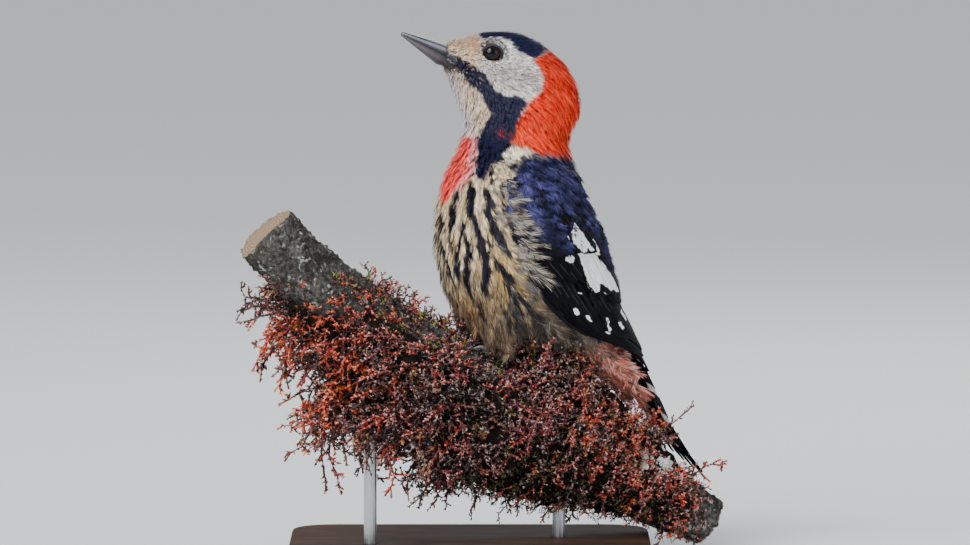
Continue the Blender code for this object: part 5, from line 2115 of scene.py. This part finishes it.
def on_perch(sign, heading, distance, lift):
    """A point over the bark, reached from a foot by a heading and a distance, in metres."""
    line = PERCH_SPOTS
    length = np.linalg.norm(np.diff(line, axis=0), axis=1).sum()
    uphill, outward = distance * cos(radians(heading)), distance * sin(radians(heading))
    share = FOOT_ALONG - uphill / length
    place = share * (len(line) - 1)
    centre = smooth_value(line, place)
    ahead = unit(smooth_value(line, place + 0.05) - smooth_value(line, place - 0.05))
    near = unit(np.cross(ahead, (0, 0, 1)))
    upward = np.cross(near, ahead)
    angle = radians(sign * (FOOT_AROUND + np.degrees(outward / PERCH_RADII[FEET_POINT])))
    knobs = 0.035 * sin(3 * angle + 9 * share) + 0.03 * sin(2 * angle - 23 * share)
    radius = smooth_value(PERCH_RADII, place) * (1 + knobs)
    return (centre + (near * sin(angle) + upward * cos(angle)) * (radius + lift)) * MM


def scaly_tube(path, radii, scutes, colour, sides=12):
    """A limb along a path, with a ridge for each scute."""
    path = np.asarray(path)
    count = len(path)
    rings, tints = [], []
    ahead = unit(np.gradient(path, axis=0))
    for number in range(count):
        aside = unit(np.cross(ahead[number], (0.13, 0.21, 1.0)))
        above = np.cross(aside, ahead[number])
        wave = abs(sin(pi * scutes * number / (count - 1)))
        turn = np.linspace(0, 2 * pi, sides, endpoint=False)
        size = radii[number] * (1 + 0.09 * (wave - 0.5)) * MM
        rings.append(path[number] + (np.outer(np.cos(turn), aside) + np.outer(np.sin(turn), above)) * size)
        shade = colour[0] + (colour[1] - colour[0]) * (0.75 * (1 - wave))
        tints.append(np.repeat(shade[None], sides, axis=0))
    return loft(rings, tints)


def curve_through(path, count):
    """More points along a smooth curve through a few."""
    path = np.asarray(path)
    return np.array([smooth_value(path, place) for place in np.linspace(0, len(path) - 1, count)])


def make_feet(skin_finish, claw_finish):
    """Two feet with scuted toes, two forward and two back, and their hooked claws."""
    for side, sign in WING_SIDE.items():
        ball = on_perch(sign, 0.0, 0.0, BALL_LIFT)
        limbs, claws = [], []
        for name, heading, length in TOES:
            path, radii = [ball], [1.3]
            for share in np.linspace(0.22, 1.0, 6):
                knuckle = 0.35 * abs(sin(3 * pi * share))
                lift = 1.25 + 0.9 * (1 - share) ** 2 + knuckle * 0.6
                path.append(on_perch(sign, heading, share * length, lift))
                radii.append(1.05 - 0.28 * share + knuckle * 0.3)
            fine = curve_through(path, 41)
            widths = np.interp(np.linspace(0, 1, 41), np.linspace(0, 1, len(radii)), radii)
            limbs.append(scaly_tube(fine, widths, round(length * 1.1), (TOE_GREY, TOE_DARK)))
            hook = []
            for share in np.linspace(0, 1, 7):
                lift = 1.2 + 1.5 * sin(pi * min(share * 1.15, 1.0)) - 0.5 * share
                hook.append(on_perch(sign, heading, length + 0.1 + CLAW_LENGTH * share, lift))
            fine = curve_through(hook, 19)
            widths = 0.85 * (1 - np.linspace(0, 1, 19)) ** 0.7 + 0.04
            claws.append(scaly_tube(fine, widths, 0, (CLAW_DARK, CLAW_PALE), 10))
        ankle = from_bird(ANKLE[0], sign * ANKLE[1], ANKLE[2] + 2.0)
        bend = ball * 0.5 + ankle * 0.5
        fine = curve_through([ball, bend, ankle], 41)
        widths = np.interp(np.linspace(0, 1, 41), (0, 0.3, 1), (1.5, 1.3, 1.45))
        limbs.append(scaly_tube(fine, widths, 11, (TOE_GREY, TOE_DARK), 14))
        piece = joined(f"scaly_foot_{side}", limbs)
        finished(piece, "scaly_skin", skin_finish, f"foot_{side}")
        names = [f"claw_{side}_{name}" for name, _, _ in TOES]
        finished(joined(f"hooked_claws_{side}", claws), "horn", claw_finish, *names)


def foot_finish():
    finish = Finish("scaly_skin", Roughness=0.6, Specular_IOR_Level=0.4)
    tint = finish.tint()
    cells = finish.node("ShaderNodeTexVoronoi", {}, {"Vector": finish.place(), "Scale": 1.6}, 0)
    grain = finish.noise(finish.place(), 1.5, 3.0)
    finish.tinted(tint, grain * 0.6 + 0.7)
    finish.relief(cells, 0.25)
    return finish.material


# ---------------------------------------------------------------- stand


def make_stand():
    """Stained wood and brushed steel on the stand's own shapes."""
    wood = Finish("stained_wood", Roughness=0.6, Specular_IOR_Level=0.12)
    place = wood.place(stretch=(0.16, 1.0, 1.0))
    rings = wood.noise(place, 0.16, 5.0, 0.6, 1.2)
    fine = wood.noise(wood.place(stretch=(0.05, 1.0, 1.0)), 1.3, 3.0)
    stops = (0.3, (0.018, 0.009, 0.005)), (0.5, (0.055, 0.026, 0.014)), (0.7, (0.11, 0.055, 0.028))
    wood.set("Base Color", wood.ramp(rings * 0.65 + fine * 0.35, *stops))
    wood.relief(fine, 0.12)
    steel = Finish("brushed_steel", Metallic=1.0, Base_Color=(0.56, 0.57, 0.58, 1.0), Anisotropic=0.5)
    lines = steel.noise(steel.place(stretch=(1.0, 1.0, 0.03)), 3.0, 2.0)
    steel.set("Roughness", lines * 0.2 + 0.22)
    for name, material in (("stand_base", wood), ("stand_rod_upper", steel), ("stand_rod_lower", steel)):
        mesh = bpy.data.objects[name].data
        for slot in range(len(mesh.materials)):
            mesh.materials[slot] = material.material


# ---------------------------------------------------------------- camera, light and floor


LIGHTS_AIM = Vector((0, 0, 0.09))
LIGHTS = (
    # name, kind, place in metres, size (a sun's in degrees), power, colour
    ("fill_light", "AREA", (0.9, -0.7, 0.45), 0.7, 2.5, (0.93, 0.96, 1.0)),
    ("back_light", "AREA", (0.35, 0.8, 0.8), 0.5, 4.0, (0.95, 0.98, 1.0)),
    ("sky_light", "AREA", (-0.9, -1.3, 1.1), 1.4, 38.0, (0.92, 0.96, 1.0)),
    ("key_light", "SUN", (-0.5, -0.75, 1.19), 16, 1.2, (1.0, 0.97, 0.93)),
)


def make_stage():
    bpy.ops.object.select_all(action="DESELECT")
    bpy.ops.mesh.primitive_plane_add(size=40.0)
    floor = bpy.context.object
    floor.name = "floor"
    finish = Finish("pale_floor", Base_Color=(0.86, 0.87, 0.86, 1.0), Roughness=0.9)
    floor.data.materials.append(finish.material)

    world = bpy.context.scene.world or bpy.data.worlds.new("studio")
    bpy.context.scene.world = world
    world.use_nodes = True
    backdrop = world.node_tree.nodes["Background"]
    backdrop.inputs["Color"].default_value = (0.86, 0.92, 1.0, 1.0)
    backdrop.inputs["Strength"].default_value = 0.42

    for name, kind, place, size, power, colour in LIGHTS:
        light = bpy.data.lights.new(name, kind)
        light.energy = power
        light.color = colour
        if kind == "SUN":
            light.angle = radians(size)
        else:
            light.shape = "DISK"
            light.size = size
        lamp = placed(name, light)
        lamp.rotation_mode = "QUATERNION"
        lamp.rotation_quaternion = (Vector(place) - LIGHTS_AIM).to_track_quat("Z", "Y")
        if kind == "AREA":
            lamp.location = place


CAMERA_HEIGHT_ANGLE = 4.0
CAMERA_DISTANCE = 2.5
CAMERA_AIM = Vector((4.65, 0.0, 89.7)) * MM
FIELD_WIDTH = 300.7 * MM


def make_camera():
    data = bpy.data.cameras.new("camera")
    data.sensor_width = 36.0
    data.lens = 36.0 * CAMERA_DISTANCE / FIELD_WIDTH
    data.clip_start, data.clip_end = 0.1, 60.0
    camera = placed("camera", data)
    angle = radians(CAMERA_HEIGHT_ANGLE)
    back = Vector((0.0, -cos(angle), sin(angle)))
    camera.location = CAMERA_AIM + back * CAMERA_DISTANCE
    camera.rotation_mode = "QUATERNION"
    camera.rotation_quaternion = back.to_track_quat("Z", "Y")
    bpy.context.scene.camera = camera


def main():
    make_stage()
    make_camera()
    skin = make_skin()
    finished(skin, "plumage", plumage_finish("skin_down", 0.9, 0.7, 0.0, 0.1), *FLESH)
    finishes = {
        "coat": plumage_finish("coat_feathers", 0.85, 0.5, 0.05, 0.14),
        "coverts": plumage_finish("covert_feathers", 0.6, 0.45, 0.0, 0.12),
        "flight": flight_finish(),
        "tail": flight_finish("tail_vanes", 0.02),
    }
    underwings = {}
    for side in "LR":
        underwings[side] = make_underwing(side)
        names = [f"wing_{side}_{part}" for part in WING_PARTS]
        finished(underwings[side], "flight_feathers", finishes["coverts"], *names)
    body = Ground(skin)
    surface = Surface(skin, *underwings.values())
    outside = Outside(surface)
    make_coat(body, surface, finishes["coat"])
    make_flanks(body, outside, finishes["coat"])
    for side in "LR":
        make_wing(side, underwings[side], surface, outside, finishes)
    make_mantle(body, outside, finishes)
    make_tail(finishes["tail"])
    horn = horn_finish()
    make_eyes()
    make_bill(body, horn)
    make_bristles(body, finishes["coat"])
    make_feet(foot_finish(), horn)
    make_stand()
    bark = make_bark(bark_finish())
    core = make_moss_core(mat_finish())
    make_fronds(core, bark, moss_finish())
    make_lichen(core, lichen_finish())


main()
